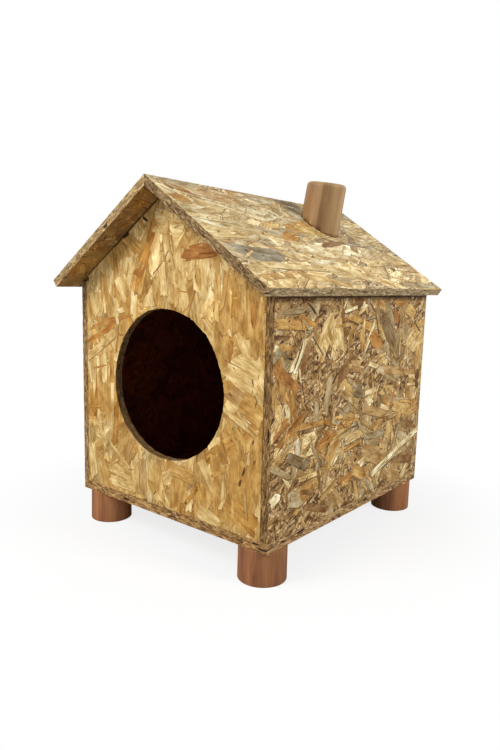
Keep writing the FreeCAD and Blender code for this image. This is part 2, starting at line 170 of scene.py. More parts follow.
class Wiring:
    """Short calls to lay out the nodes of a material or a world."""

    def __init__(self, owner):
        self.owner = owner
        owner.use_nodes = True
        self.tree = owner.node_tree
        self.tree.nodes.clear()

    def put(self, socket, value):
        """Sets a socket to a constant, or links another to it."""
        if isinstance(value, bpy.types.NodeSocket):
            self.tree.links.new(value, socket)
        else:
            socket.default_value = value

    def add(self, kind, inputs=(), **settings):
        """A shader node with these inputs and settings."""
        node = self.tree.nodes.new("ShaderNode" + kind)
        for key, value in settings.items():
            setattr(node, key, value)
        for key, value in dict(inputs).items():
            self.put(node.inputs[key], value)
        return node

    def math(self, operation, first, second=0.0, third=0.0):
        """The result of a sum on numbers or sockets."""
        node = self.add("Math", operation=operation)
        for index, value in enumerate((first, second, third)):
            self.put(node.inputs[index], value)
        return node.outputs[0]

    def times(self, first, second):
        return self.math("MULTIPLY", first, second)

    def plus(self, first, second):
        return self.math("ADD", first, second)

    def minus(self, first, second):
        return self.math("SUBTRACT", first, second)

    def varied(self, value, amount, base=0.0):
        """A base with a noise's departure from its middle added, by an amount."""
        return self.math("MULTIPLY_ADD", self.minus(value, 0.5), amount, base)

    def smooth(self, value, low, high, to_low=0.0, to_high=1.0):
        """value eased from one range to another."""
        node = self.add("MapRange", interpolation_type="SMOOTHSTEP")
        names = ("Value", "From Min", "From Max", "To Min", "To Max")
        for key, number in zip(names, (value, low, high, to_low, to_high)):
            self.put(node.inputs[key], number)
        return node.outputs["Result"]

    def combine(self, x, y, z):
        node = self.add("CombineXYZ")
        for index, value in enumerate((x, y, z)):
            self.put(node.inputs[index], value)
        return node.outputs[0]

    def split(self, vector):
        node = self.add("SeparateXYZ", {0: vector})
        return node.outputs[0], node.outputs[1], node.outputs[2]

    def attribute(self, name):
        return self.add("Attribute", attribute_name=name).outputs["Vector"]

    def grain(self):
        """The spot's places along and across its own strand, in millimetres."""
        return self.split(self.add("UVMap", uv_map="grain").outputs[0])[:2]

    def position(self):
        return self.split(self.add("NewGeometry").outputs["Position"])

    def noise(self, spot, detail=2.0, rough=0.5):
        """spot is a triple of places and their scales."""
        vector = self.combine(*(self.times(place, scale) for place, scale in spot))
        inputs = {"Vector": vector, "Scale": 1.0, "Detail": detail, "Roughness": rough}
        return self.add("TexNoise", inputs).outputs["Fac"]

    def ramp(self, value, stops, convert=linear):
        """Colours by value. A stop is a value and its colour."""
        node = self.add("ValToRGB", {"Fac": value})
        elements = node.color_ramp.elements
        while len(elements) < len(stops):
            elements.new(0.5)
        for element, (position, colour) in zip(elements, stops):
            element.position = position
            element.color = (*convert(colour), 1)
        return node.outputs["Color"]

    def mix(self, share, first, second):
        node = self.add("Mix", data_type="RGBA")
        self.put(node.inputs["Factor"], share)
        self.put(node.inputs["A"], first)
        self.put(node.inputs["B"], second)
        return node.outputs["Result"]

    def tinted(self, colour, tint):
        node = self.add("VectorMath", operation="MULTIPLY")
        self.put(node.inputs[0], colour)
        self.put(node.inputs[1], tint)
        return node.outputs[0]

    def scaled(self, colour, factor):
        node = self.add("VectorMath", operation="SCALE")
        self.put(node.inputs[0], colour)
        self.put(node.inputs["Scale"], factor)
        return node.outputs[0]

    def finish(self, colour, rough, height, depth, strength, metallic=0.0):
        """The material with this colour, roughness and relief."""
        bump = self.add("Bump", {"Height": height, "Strength": strength, "Distance": depth})
        shader = self.add("BsdfPrincipled", {
            "Base Color": colour, "Roughness": rough, "Metallic": metallic, "Specular IOR Level": 0.25,
            "Normal": bump.outputs["Normal"]})
        self.add("OutputMaterial", {"Surface": shader.outputs[0]})
        return self.owner


# How much light each small bit of wood reflects of its board's own, as a third, from
# the darkest bit to the lightest
BIT_TONES = (
    (0.00, (0.08, 0.062, 0.048)), (0.14, (0.18, 0.155, 0.13)), (0.38, (0.30, 0.285, 0.265)),
    (0.62, (0.385, 0.38, 0.37)), (0.84, (0.45, 0.47, 0.49)), (1.00, (0.54, 0.61, 0.70)),
)
# The same for the layers of a sawn edge
EDGE_TONES = (
    (0.28, (0.06, 0.05, 0.04)), (0.42, (0.18, 0.16, 0.14)), (0.58, (0.34, 0.33, 0.31)),
    (0.74, (0.50, 0.52, 0.54)), (0.92, (0.80, 0.90, 1.00)),
)
MIDDLE_TONE = (0.35, 0.35, 0.35, 1)
# Three slants of bits on a face: degrees, length, width and how much of it they take
BIT_SLANTS = ((28, 9.0, 2.3, 1.05), (100, 11.0, 1.9, 0.42), (-35, 7.0, 1.6, 0.36))
# The layers of a sawn edge: degrees, length and width
BROAD_LAYERS, FINE_LAYERS = (5, 7.5, 1.4), (-16, 3.4, 1.0)
RIM_TINT, PIT_COLOUR = (0.40, 0.27, 0.14), (38, 25, 14)
# Colours of the round wood, from the dark of a ring to the light
FOOT_STOPS = ((0.34, (116, 72, 44)), (0.46, (146, 95, 60)), (0.56, (160, 107, 68)), (0.70, (178, 122, 82)))
CHIMNEY_STOPS = ((0.34, (136, 100, 66)), (0.46, (156, 120, 82)), (0.56, (166, 130, 90)), (0.70, (180, 144, 102)))


def bits(w, x, y, degrees, length, width, offset):
    """Small flat bits of wood, longer one way. Gives two chance numbers of the bit at
    each spot, and how far inside its rim the spot is."""
    cosine, sine = math.cos(math.radians(degrees)), math.sin(math.radians(degrees))
    along = w.plus(w.times(x, cosine / length), w.times(y, sine / length))
    across = w.minus(w.times(y, cosine / width), w.times(x, sine / width))
    inputs = {"Vector": w.combine(w.plus(along, offset), across, 0.0), "Scale": 1.0}
    cell = w.add("TexVoronoi", inputs, voronoi_dimensions="2D")
    rim = w.add("TexVoronoi", inputs, voronoi_dimensions="2D", feature="DISTANCE_TO_EDGE")
    return *w.split(cell.outputs["Color"])[:2], rim.outputs["Distance"]


def with_bits(w, shown, x, y, share, chance):
    """Lays bits of wood of three slants over a colour, in the given share of the surface."""
    jag = w.noise(((x, 0.30), (y, 0.30), (chance, 50)), detail=1)
    x, y = w.plus(x, w.times(jag, 1.6)), w.minus(y, w.times(jag, 1.2))
    gap = w.smooth(share, 0.1, 1.0, 0.85, 0.55)
    relief = 0.5
    for degrees, length, width, part in BIT_SLANTS:
        first, second, inside = bits(w, x, y, degrees, length, width, w.times(chance, 70 + degrees))
        there = w.math("LESS_THAN", first, w.times(share, part))
        tone = w.scaled(w.ramp(second, BIT_TONES, tuple), 3.0)
        tone = w.scaled(tone, w.smooth(inside, 0.0, 0.13, gap, 1.0))
        shown = w.mix(there, shown, w.tinted(shown, tone))
        relief = w.varied(second, there, relief)
    return shown, relief


def grain_tone(w, x, across, chance, streak, mottle, contrast):
    """How much of each colour a strand's grain lets through, darks being the stronger."""
    fibre = w.noise(((x, 0.13), (across, 1.5), (chance, 70)), detail=2, rough=0.6)
    stops = w.varied(streak, STREAK_STOPS)
    stops = w.varied(fibre, FIBRE_STOPS, stops)
    stops = w.times(w.varied(mottle, MOTTLE_STOPS, stops), contrast)
    stops = w.math("MULTIPLY_ADD", w.times(stops, stops), -0.22, w.plus(stops, 0.06))
    return w.combine(*(w.math("POWER", 2.0, w.times(stops, power)) for power in TONE_POWERS))


def splits(w, x, across, chance, mottle):
    """Thin dark splits along the grain, in patches."""
    line = w.noise(((x, 0.010), (across, 0.33), (chance, 20)), detail=1)
    line = w.smooth(w.math("ABSOLUTE", w.minus(line, 0.5)), 0.0, 0.012, 1.0, 0.0)
    return w.times(line, w.smooth(mottle, 0.48, 0.60))


def rim_shade_painted(w, x, y, half_length, half_width, chance, streak):
    """The dark uneven rim of a strand, painted shade where it meets the strands round it, on some strands
    stronger than on others.
    """
    to_side = w.minus(half_width, w.math("ABSOLUTE", y))
    to_end = w.minus(half_length, w.math("ABSOLUTE", x))
    inside = w.varied(streak, 3.0, w.math("MINIMUM", to_side, to_end))
    rim_shade = w.smooth(inside, 0.0, 1.1, 1.0, 0.0)
    return w.times(rim_shade, w.smooth(w.math("FRACT", w.times(chance, 7.0)), 0.2, 0.9))


def with_cabin_shade_painted(w, shown):
    """A colour, darkened as painted shade where it lies within the cabin."""
    x, y, z = w.position()
    within = w.math("LESS_THAN", w.math("ABSOLUTE", x), INSIDE_HALF_WIDTH)
    within = w.times(within, w.math("GREATER_THAN", y, INSIDE_FRONT))
    within = w.times(within, w.math("LESS_THAN", y, INSIDE_BACK))
    within = w.times(within, w.math("GREATER_THAN", z, INSIDE_BOTTOM))
    # Painted shade: darker tints for the walls and the floor within the cabin
    tint_with_painted_light = w.mix(w.math("LESS_THAN", z, FLOOR_TOP), WALL_SHADE_PAINTED, FLOOR_SHADE_PAINTED)
    return w.mix(within, shown, w.tinted(shown, tint_with_painted_light))


def strand_material(name, paints_cabin_shade):
    """Flat faces: each strand has its colour, grain along it, splits and a rim darkened as painted shade,
    and small bits of wood on it. With the second argument true, wood inside the cabin is darkened as painted
    shade."""
    w = Wiring(bpy.data.materials.new(name))
    half_length, half_width, chance = w.split(w.attribute("span"))
    share_of_bits, contrast, rim = w.split(w.attribute("look"))
    x, y = w.grain()
    sway = w.noise(((x, 0.018), (y, 0.05), (chance, 40)))
    across = w.plus(y, w.times(sway, 7.0))
    streak = w.noise(((x, 0.028), (across, 0.40), (chance, 90)), detail=4, rough=0.66)
    mottle = w.noise(((x, 0.035), (y, 0.08), (chance, 30)), detail=3, rough=0.6)
    tone = grain_tone(w, x, across, chance, streak, mottle, contrast)
    shown = w.tinted(w.attribute("colour"), tone)
    split = splits(w, x, across, chance, mottle)
    # Painted shade darkens each strand's rim
    rim_shade = rim_shade_painted(w, x, y, half_length, half_width, chance, streak)
    darkened = w.math("MULTIPLY_ADD", w.times(split, contrast), 0.4, w.times(rim_shade, rim))
    darkened = w.math("MINIMUM", darkened, 0.8)
    shown = w.mix(darkened, shown, w.tinted(shown, RIM_TINT))
    shown, relief = with_bits(w, shown, x, y, share_of_bits, chance)
    if paints_cabin_shade:
        shown = with_cabin_shade_painted(w, shown)
    height = w.minus(w.math("MULTIPLY_ADD", streak, 0.45, relief), darkened)
    return w.finish(shown, w.smooth(streak, 0.2, 0.8, 0.72, 0.55), height, depth=0.0003, strength=0.5)


def sawn_material():
    """Sawn edges: thin layers of cut strands with small dark gaps between them."""
    w = Wiring(bpy.data.materials.new("sawn_edge"))
    along, depth = w.grain()
    chance, contrast = w.split(w.attribute("span"))[2], w.split(w.attribute("look"))[1]
    sway = w.noise(((along, 0.05), (depth, 0.12), (chance, 60)))
    level = w.plus(depth, w.times(sway, 6.0))
    second, inside = bits(w, along, level, *BROAD_LAYERS, w.times(chance, 300))[1:]
    fine_first, fine_second = bits(w, along, level, *FINE_LAYERS, w.times(chance, 500))[:2]
    broad = w.noise(((along, 0.03), (level, 0.3), (chance, 20)), detail=3)
    value = w.plus(w.times(second, 0.52), w.times(fine_second, 0.26))
    value = w.plus(value, w.times(broad, 0.44))
    tone = w.scaled(w.mix(contrast, MIDDLE_TONE, w.ramp(value, EDGE_TONES, tuple)), 3.0)
    gaps = w.times(w.smooth(inside, 0.0, 0.10, 0.60, 1.0), w.smooth(fine_first, 0.92, 0.97, 1.0, 0.45))
    tone = w.scaled(tone, gaps)
    colour = w.tinted(w.attribute("colour"), tone)
    hidden = w.smooth(w.add("Attribute", attribute_name="pit").outputs["Fac"], 0.1, 0.8)
    colour = w.mix(hidden, colour, (*linear(PIT_COLOUR), 1))
    rough = w.smooth(value, 0.3, 0.8, 0.85, 0.65)
    return w.finish(colour, rough, w.times(value, gaps), depth=0.0006, strength=0.7)


def round_wood_material(name, stops, pith, spacing, streaks):
    """Solid round wood: growth rings about a pith off the axis, with pores along the grain."""
    w = Wiring(bpy.data.materials.new(name))
    x, y, z = w.split(w.attribute("wood"))
    bend = w.noise(((x, 0.03), (y, 0.03), (z, 0.012)))
    from_x, from_y = w.minus(x, pith[0]), w.minus(y, pith[1])
    away = w.math("SQRT", w.plus(w.times(from_x, from_x), w.times(from_y, from_y)))
    ring = w.plus(w.math("DIVIDE", away, spacing), w.times(bend, 3.0))
    wave = w.math("SINE", w.times(ring, 2 * math.pi))
    fibre = w.noise(((x, 1.1), (y, 1.1), (z, 0.025)), detail=3, rough=0.6)
    broad = w.noise(((x, 0.06), (y, 0.06), (z, 0.010)))
    value = w.plus(w.times(wave, streaks), w.times(fibre, 0.45))
    value = w.plus(value, w.times(broad, 0.55))
    # The tint from the mesh is partly the wood's tone and partly painted light and shade round the post
    colour = w.tinted(w.ramp(value, stops), w.attribute("tint_with_painted_light"))
    pore = w.noise(((x, 2.2), (y, 2.2), (z, 0.12)), detail=1)
    colour = w.scaled(colour, w.smooth(pore, 0.28, 0.42, 0.86, 1.0))
    return w.finish(colour, w.smooth(fibre, 0.2, 0.8, 0.55, 0.42), fibre, depth=0.0003, strength=0.25)


def steel_material():
    """Plain zinc-plated steel with fine drawing marks."""
    w = Wiring(bpy.data.materials.new("plated_steel"))
    marks = w.noise([(place, 900) for place in w.position()], detail=3)
    colour = w.ramp(marks, ((0.3, (150, 150, 148)), (0.7, (196, 196, 194))))
    rough = w.smooth(marks, 0.3, 0.7, 0.28, 0.45)
    return w.finish(colour, rough, marks, depth=0.00005, strength=0.3, metallic=1.0)


def torn_end(rng, half, side, ragged):
    """Corners of one end across the grain, from -side to side: slanted and torn."""
    slant = rng.gauss(0, 0.5) * ragged
    teeth = max(2, min(7, round(side / 1.3)))
    reach = min(0.25 * half, side) * ragged
    found = []
    for step in range(teeth + 1):
        y = side * (2 * step / teeth - 1)
        tear = reach * rng.random() ** 2
        found.append((half - abs(slant) * side + slant * y - tear, y))
    return found


def drawn_end(rng, half, side):
    """Corners of one end that narrows to a splinter, from -side to side."""
    tip = side * rng.uniform(-0.7, 0.7)
    low, high = half * rng.uniform(0.1, 0.7), half * rng.uniform(0.1, 0.7)
    low_bend = ((low + half) / 2, (tip - side) / 2 - side * rng.uniform(0.0, 0.2))
    high_bend = ((high + half) / 2, (tip + side) / 2 + side * rng.uniform(0.0, 0.2))
    return [(low, -side), low_bend, (half, tip), high_bend, (high, side)]


def long_side(rng, start, end, side):
    """Points between two corners of a strand, a little off the straight line."""
    steps = max(1, min(4, round(abs(end[0] - start[0]) / 18)))
    found = []
    for step in range(1, steps + 1):
        share = step / (steps + 1)
        sway = rng.gauss(0, 0.06) * side
        x, y = blended(start, end, share)
        found.append((x, y + sway))
    return found


def strand_outline(rng, half, side, shape, ragged):
    """Corners of a strand in its own x, along the grain, and y, anticlockwise."""
    ends = []
    for sign in (1, -1):
        if shape == "lens" or rng.random() < DRAWN_SHARE:
            end = drawn_end(rng, half, side)
        else:
            end = torn_end(rng, half, side, ragged)
        ends.append([(sign * x, sign * y) for x, y in end])
    right, left = ends
    points = right + long_side(rng, right[-1], left[0], side)
    points += left + long_side(rng, left[-1], right[0], side)
    bow, taper = rng.gauss(0, 0.015) * half, rng.uniform(-0.18, 0.18)
    return [(x, y * (1 + taper * x / half) + bow * (1 - (x / half) ** 2)) for x, y in points]


class Strand:
    """One strand: its outline on the sheet, its grain's place and turn, its colour and look.
    The look is the share of it that small bits cover, its contrast and its rim's darkness."""

    def __init__(self, rng, centre, degrees, length, width, colour, look, shape="torn", ragged=1.0):
        self.centre, self.angle = Vector(centre), math.radians(degrees)
        self.half, self.side = length / 2, width / 2
        self.colour, self.chance = linear(colour), rng.random()
        # Most strands carry few bits, and some many
        share_of_bits = look[0] * 2.4 * rng.random() ** 1.4
        self.look = (share_of_bits, *look[1:])
        corners = strand_outline(rng, self.half, self.side, shape, ragged)
        self.outline = [self.on_sheet(x, y) for x, y in corners]

    def on_sheet(self, x, y):
        """A place of the strand's own as a place on the sheet."""
        cosine, sine = math.cos(self.angle), math.sin(self.angle)
        return self.centre + Vector((x * cosine - y * sine, x * sine + y * cosine))

    def in_grain(self, spot):
        """A place on the sheet as a place of the strand's own."""
        cosine, sine = math.cos(self.angle), math.sin(self.angle)
        x, y = spot.x - self.centre.x, spot.y - self.centre.y
        return x * cosine + y * sine, y * cosine - x * sine

    def shade(self, shift, colour):
        """The sliver of shade that shows beside the strand where it stands proud."""
        sliver = copy.copy(self)
        sliver.outline = [point + shift for point in self.outline]
        sliver.colour, sliver.look = linear(colour), SHADE_LOOK
        return sliver


class Style:
    """What the strands of one face are like: colours and their weights, the tint over them
    all, the wood beneath, turns, deep and top layers, look, the shade beside them and the
    share that has it, specks, bare zones, and how light the bottom and the top are."""

    def __init__(self, palette, wash, ground, ground_bits, turn, under, over, look, shade, shaded, specks,
                 bare=(), fade=(1, 1)):
        self.palette, self.wash, self.turn, self.fade = palette, wash, turn, fade
        self.ground, self.ground_bits = washed(ground, wash), ground_bits
        self.under, self.over, self.look = under, over, look
        self.shade, self.shaded, self.specks, self.bare = shade, shaded, specks, bare


def washed(colour, wash):
    """A colour with a tint over it."""
    return tuple(min(250, value * part) for value, part in zip(colour, wash))


def picked(rng, style, height):
    """A colour of the style's palette, by weight, a little lighter or darker. The height is
    its place from the face's bottom, 0, to its top, 1."""
    colours, weights = zip(*style.palette)
    first, second = rng.choices(colours, weights, k=2)
    mixed = blended(first, second, rng.uniform(0, MIX_LIMIT))
    bottom, top = style.fade
    shift = rng.uniform(*LIGHTNESS) * (bottom + (top - bottom) * height)
    return washed(mixed, [part * shift for part in style.wash])


def with_shades(rng, strands, style):
    """The strands, some with a sliver of shade drawn beneath them."""
    found = []
    for strand in strands:
        if rng.random() < style.shaded:
            shift = Vector((rng.uniform(*SHADE_RIGHT), rng.uniform(*SHADE_UP)))
            found.append(strand.shade(shift, style.shade))
        found.append(strand)
    return found


def strewn(rng, box, density):
    """Random places in a box, density of them to every 100 square centimetres."""
    low_u, low_v, high_u, high_v = box
    for index in range(round(density * (high_u - low_u) * (high_v - low_v) / 10000)):
        yield rng.uniform(low_u, high_u), rng.uniform(low_v, high_v)


def scattered(rng, box, layers, style):
    """Strands strewn over a box. A layer is their number to every 100 square centimetres,
    their lengths and their widths."""
    low_v, high_v = box[1], box[3]
    found = []
    for density, lengths, widths in layers:
        for u, v in strewn(rng, box, density):
            length = rng.uniform(*lengths)
            width = min(rng.uniform(*widths), length * WIDEST)
            turn, colour = style.turn(rng), picked(rng, style, (v - low_v) / (high_v - low_v))
            strand = Strand(rng, (u, v), turn, length, width, colour, style.look)
            sparse = any(u0 < u < u1 and v0 < v < v1 for u0, v0, u1, v1 in style.bare)
            if not sparse or rng.random() > LEFT_OUT:
                found.append(strand)
    return found


def placed(rng, rows, style):
    """Strands given as start, end, width, colour and, where not torn, shape. They have
    fewer bits on them and cleaner ends than the others."""
    look = (style.look[0] * PLACED_BITS, *style.look[1:])
    found = []
    for start, end, width, colour, *shape in rows:
        middle, along = (Vector(start) + Vector(end)) / 2, Vector(end) - Vector(start)
        degrees = math.degrees(math.atan2(along.y, along.x))
        kind, colour = shape[0] if shape else "torn", washed(colour, style.wash)
        found.append(Strand(rng, middle, degrees, along.length, width, colour, look, kind, PLACED_RAGGED))
    return found


def laid(rng, box, style, extra=(), marks=()):
    """All strands of one face, from the deepest to the top ones."""
    found = with_shades(rng, scattered(rng, box, style.under + style.over, style), style)
    found += with_shades(rng, placed(rng, extra, style), style)
    density, colours = style.specks
    for centre in strewn(rng, box, density):
        length, colour = rng.uniform(*SPECK_LENGTHS), rng.choice(colours)
        width = rng.uniform(*SPECK_WIDTHS)
        found.append(Strand(rng, centre, style.turn(rng), length, width, colour, SPECK_LOOK, "lens"))
    return found + placed(rng, marks, style)


def any_way(rng):
    """A turn like any other."""
    return rng.uniform(0, 180)


def mostly(degrees, spread, stray):
    """Turns near one direction, with a share that lies any way."""
    def turn(rng):
        return any_way(rng) if rng.random() < stray else rng.gauss(degrees, spread)
    return turn


def following(loop):
    """Each item of a closed loop with the one after it."""
    return zip(loop, loop[1:] + loop[:1])


def signed_area(loop):
    """The area within a loop, positive if the loop runs anticlockwise."""
    return sum(here.x * there.y - there.x * here.y for here, there in following(loop)) / 2


def spilling(drawn, places, faces, face_owners):
    """Those of the drawn outlines whose faces cover clearly more than the outline does."""
    covered = [0.0] * len(drawn)
    for face, owners in zip(faces, face_owners):
        area = abs(signed_area([places[index] for index in face]))
        for owner in owners:
            covered[owner] += area
    allowed = [SPILL_RATIO * abs(signed_area(ring)) + SPILL_AREA for ring in drawn]
    return {index for index, area in enumerate(covered) if area > allowed[index]}


def arranged(outline, holes, strands):
    """The flat pattern of what shows of overlapping strands inside an outline, as a bmesh
    whose material indices count the strands from 1."""
    drawn = [outline] + holes + [strand.outline for strand in strands]
    points, rings = [], []
    for ring in drawn:
        indices = list(range(len(points), len(points) + len(ring)))
        rings.append(indices if signed_area(ring) > 0 else indices[::-1])
        points += ring
    pattern = geometry.delaunay_2d_cdt(points, [], rings, 1, MERGE_DISTANCE, True)
    places, faces, face_owners = pattern[0], pattern[2], pattern[5]
    spilled = spilling(drawn, places, faces, face_owners)
    first = 1 + len(holes)
    mesh = bmesh.new()
    corners = [mesh.verts.new((place.x, place.y, 0)) for place in places]
    for face, owners in zip(faces, face_owners):
        if 0 not in owners or any(index in owners for index in range(1, first)):
            continue
        made = mesh.faces.new([corners[index] for index in face])
        top = max(owner for owner in owners if owner not in spilled)
        made.material_index = max(top - first + 1, 0)
    loose = [corner for corner in mesh.verts if not corner.link_faces]
    bmesh.ops.delete(mesh, geom=loose, context="VERTS")
    bmesh.ops.dissolve_limit(
        mesh, angle_limit=STRAIGHT, verts=mesh.verts, edges=mesh.edges, delimit={"MATERIAL"})
    bmesh.ops.triangulate(mesh, faces=[f for f in mesh.faces if len(f.verts) > 4])
    return mesh


def resampled(outline, guide):
    """Points along an outline, corners kept, with as many to each side as its guide's side
    takes at the pitch of the edges."""
    found = []
    for (start, end), (guide_start, guide_end) in zip(following(outline), following(guide)):
        steps = max(1, math.ceil((guide_end - guide_start).length / EDGE_PITCH))
        found += [start.lerp(end, step / steps) for step in range(steps)]
    return found


def inward_directions(outline):
    """For each point of an anticlockwise outline, the unit direction into the sheet."""
    found = []
    for before, after in zip(outline[-1:] + outline[:-1], outline[1:] + outline[:1]):
        ahead = after - before
        found.append(Vector((-ahead.y, ahead.x)).normalized())
    return found


def ring_of(mesh, first):
    """Boundary loop of the flat mesh that holds the vertex nearest a point, in order."""
    nearby = {}
    for edge in mesh.edges:
        if edge.is_boundary:
            for corner in edge.verts:
                nearby.setdefault(corner, []).append(edge)
    start = min(nearby, key=lambda corner: (corner.co.xy - first).length)
    loop, here, came = [start], start, None
    while True:
        edge = next(e for e in nearby[here] if e is not came)
        there = edge.other_vert(here)
        if there is start:
            return loop
        loop.append(there)
        here, came = there, edge


def shares(points):
    """How far round a closed loop each point lies, from 0 to 1."""
    steps = [(there - here).length for here, there in following(points)]
    whole, run, found = sum(steps), 0.0, []
    for step in steps:
        found.append(run / whole)
        run += step
    return found


def zip_loops(body, first, second):
    """Triangles between two closed loops that run the same way, each a list of shares
    and a list of corners."""
    (first_shares, first), (second_shares, second) = first, second
    first_shares, second_shares = first_shares + [1.0], second_shares + [1.0]
    i, j, made = 0, 0, []
    while i < len(first) or j < len(second):
        a, b = first[i % len(first)], second[j % len(second)]
        if j >= len(second) or (i < len(first) and first_shares[i + 1] <= second_shares[j + 1]):
            i += 1
            c = first[i % len(first)]
        else:
            j += 1
            c = second[j % len(second)]
        if len({a, b, c}) == 3:
            made.append(body.faces.new((a, b, c)))
    return made


class Layers:
    """The mesh data that the board's materials read."""

    def __init__(self, body):
        self.grain = body.loops.layers.uv.new("grain")
        self.colour = body.faces.layers.float_vector.new("colour")
        self.span = body.faces.layers.float_vector.new("span")
        self.look = body.faces.layers.float_vector.new("look")

    def paint(self, face, strand, spots):
        """Gives a face its strand's look. spots are its corners' places on the sheet."""
        face[self.colour] = Vector(strand.colour)
        face[self.span] = Vector((strand.half, strand.side, strand.chance))
        face[self.look] = Vector(strand.look)
        for loop, spot in zip(face.loops, spots):
            loop[self.grain].uv = strand.in_grain(spot)


class Board:
    """A sheet of strand board: two faces of overlapping strands and rough sawn edges between.
    Its own directions are along, up and out, and a depth is measured inward. An edge is its
    colour and contrast, and the one at the front of the house may have its own."""

    def __init__(self, name, origin, along, up, thickness, seed, edge, front_edge=None):
        self.name, self.thickness, self.seed = name, thickness, seed
        self.origin, self.along, self.up = Vector(origin), Vector(along), Vector(up)
        self.out = self.along.cross(self.up)
        self.rng = random.Random(seed)
        self.body = bmesh.new()
        self.layers = Layers(self.body)
        self.pit = self.body.verts.layers.float.new("pit")
        self.edge, self.front_edge, self.front_limit = edge, front_edge or edge, 0.0

    def place(self, point, depth):
        """A point of the sheet in the frame, in metres."""
        return (self.origin + self.along * point.x + self.up * point.y - self.out * depth) * MM

    def rough(self, outline, amount, level):
        """An outline with its points moved into the sheet by a smooth but uneven amount,
        which differs from level to level."""
        found = []
        for point, inward in zip(outline, inward_directions(outline)):
            broad = Vector((point.x * 0.11, point.y * 0.11, self.seed * 3.7 + level * 0.9))
            fine = Vector((point.x * 0.6, point.y * 0.6, self.seed * 1.3 + level * 2.1))
            share = 0.5 + 0.35 * noise.noise(broad) + 0.5 * noise.noise(fine)
            found.append(point + inward * amount * min(max(share, 0.0), 1.0))
        return found

    def add_face(self, outline, holes, strands, ground, depth, outward):
        """One face of the sheet. Returns its rims, as shares and corners of the body."""
        flat = arranged(outline, holes, strands)
        corners = {corner: self.body.verts.new(self.place(corner.co, depth)) for corner in flat.verts}
        drawn = [ground] + strands
        for face in flat.faces:
            order = list(face.verts)
            if (face.normal.z > 0) != outward:
                order.reverse()
            made = self.body.faces.new([corners[corner] for corner in order])
            self.layers.paint(made, drawn[face.material_index], [corner.co for corner in order])
            made.material_index = OUTER if outward else INNER
        rims = []
        for ring in [outline] + holes:
            loop = ring_of(flat, ring[0])
            if (signed_area([corner.co.xy for corner in loop]) > 0) != (signed_area(ring) > 0):
                loop = [loop[0]] + loop[:0:-1]
            rims.append((shares([corner.co.xy for corner in loop]), [corners[corner] for corner in loop]))
        flat.free()
        return rims

    def pits_of(self, count, length):
        """Depths of the small voids in a sawn edge, by column and row."""
        depths = {}
        for index in range(round(length / VOID_RUN)):
            column, row = self.rng.randrange(count), self.rng.randrange(2, EDGE_ROWS - 1)
            reach = self.rng.choice((0, 0, 1, 1, 2))
            for step in range(-reach, reach + 1):
                depths[(column + step) % count, row] = self.rng.uniform(*VOID_DEPTHS)
        return depths

    def edge_row(self, front, back, row, amount, pits):
        """The corners of one row of points within a sawn edge."""
        level = [a.lerp(b, row / EDGE_ROWS) for a, b in zip(front, back)]
        depth = self.thickness * row / EDGE_ROWS
        found = []
        points = zip(self.rough(level, amount, row), inward_directions(level))
        for index, (point, inward) in enumerate(points):
            pit = pits.get((index, row), 0.0)
            corner = self.body.verts.new(self.place(point + inward * pit, depth))
            corner[self.pit] = min(pit, 1.0)
            found.append(corner)
        return found

    def add_edge(self, front, back, front_rim, back_rim, amount):
        """A sawn edge between the rims of the two faces."""
        length = sum((there - here).length for here, there in following(front))
        pits = self.pits_of(len(front), length)
        chance = self.rng.random()
        above = front_rim
        for row in range(1, EDGE_ROWS + 1):
            below = back_rim
            if row < EDGE_ROWS:
                below = (shares(front), self.edge_row(front, back, row, amount, pits))
            self.unroll(above, below, length, row, chance)
            above = below

    def unroll(self, above, below, length, row, chance):
        """Faces between two rows, laid out by their way round the sheet and their depth."""
        ways = {corner: (way, row - 1) for way, corner in zip(*above)}
        ways.update({corner: (way, row) for way, corner in zip(*below)})
        for face in zip_loops(self.body, above, below):
            face.material_index = EDGE
            faces_front = face.calc_center_median().y < self.front_limit
            colour, contrast = self.front_edge if faces_front else self.edge
            face[self.layers.colour] = Vector(linear(colour))
            face[self.layers.span] = Vector((0, 0, chance))
            face[self.layers.look] = Vector((0, contrast, 0))
            around = [ways[loop.vert][0] for loop in face.loops]
            wraps = max(around) - min(around) > 0.5
            for loop, way in zip(face.loops, around):
                if wraps and way < 0.5:
                    way += 1
                depth = ways[loop.vert][1] * self.thickness / EDGE_ROWS
                loop[self.layers.grain].uv = (way * length, depth)

    def build(self, outline, inner_outline, faces, holes=(), amount=0.5):
        """The whole sheet as one closed mesh. faces are its outer and inner face, each as
        strands and the wood beneath them, and amount is how rough the edges are."""
        self.front_limit = min(self.place(point, 0).y for point in outline) + MM
        pairs = zip((outline, *holes), (inner_outline, *holes))
        rings = [(resampled(front, front), resampled(back, front)) for front, back in pairs]
        outer = [self.rough(front, amount, 0) for front, back in rings]
        inner = [self.rough(back, amount, 9) for front, back in rings]
        (strands, ground), (inner_strands, inner_ground) = faces
        front_rims = self.add_face(outer[0], outer[1:], strands, ground, 0.0, True)
        back_rims = self.add_face(inner[0], inner[1:], inner_strands, inner_ground, self.thickness, False)
        for (front, back), front_rim, back_rim in zip(rings, front_rims, back_rims):
            self.add_edge(front, back, front_rim, back_rim, amount)
        bmesh.ops.recalc_face_normals(self.body, faces=self.body.faces)
        return finished(self.name, self.body, (STRAND_FACE, SAWN_EDGE, INNER_FACE))


def add_object(name, data):
    """An object of the scene with this data."""
    made = bpy.data.objects.new(name, data)
    bpy.context.scene.collection.objects.link(made)
    return made


def finished(name, body, materials):
    """A bmesh as an object of the scene."""
    mesh = bpy.data.meshes.new(name)
    body.to_mesh(mesh)
    body.free()
    for material in materials:
        mesh.materials.append(material)
    return add_object(name, mesh)


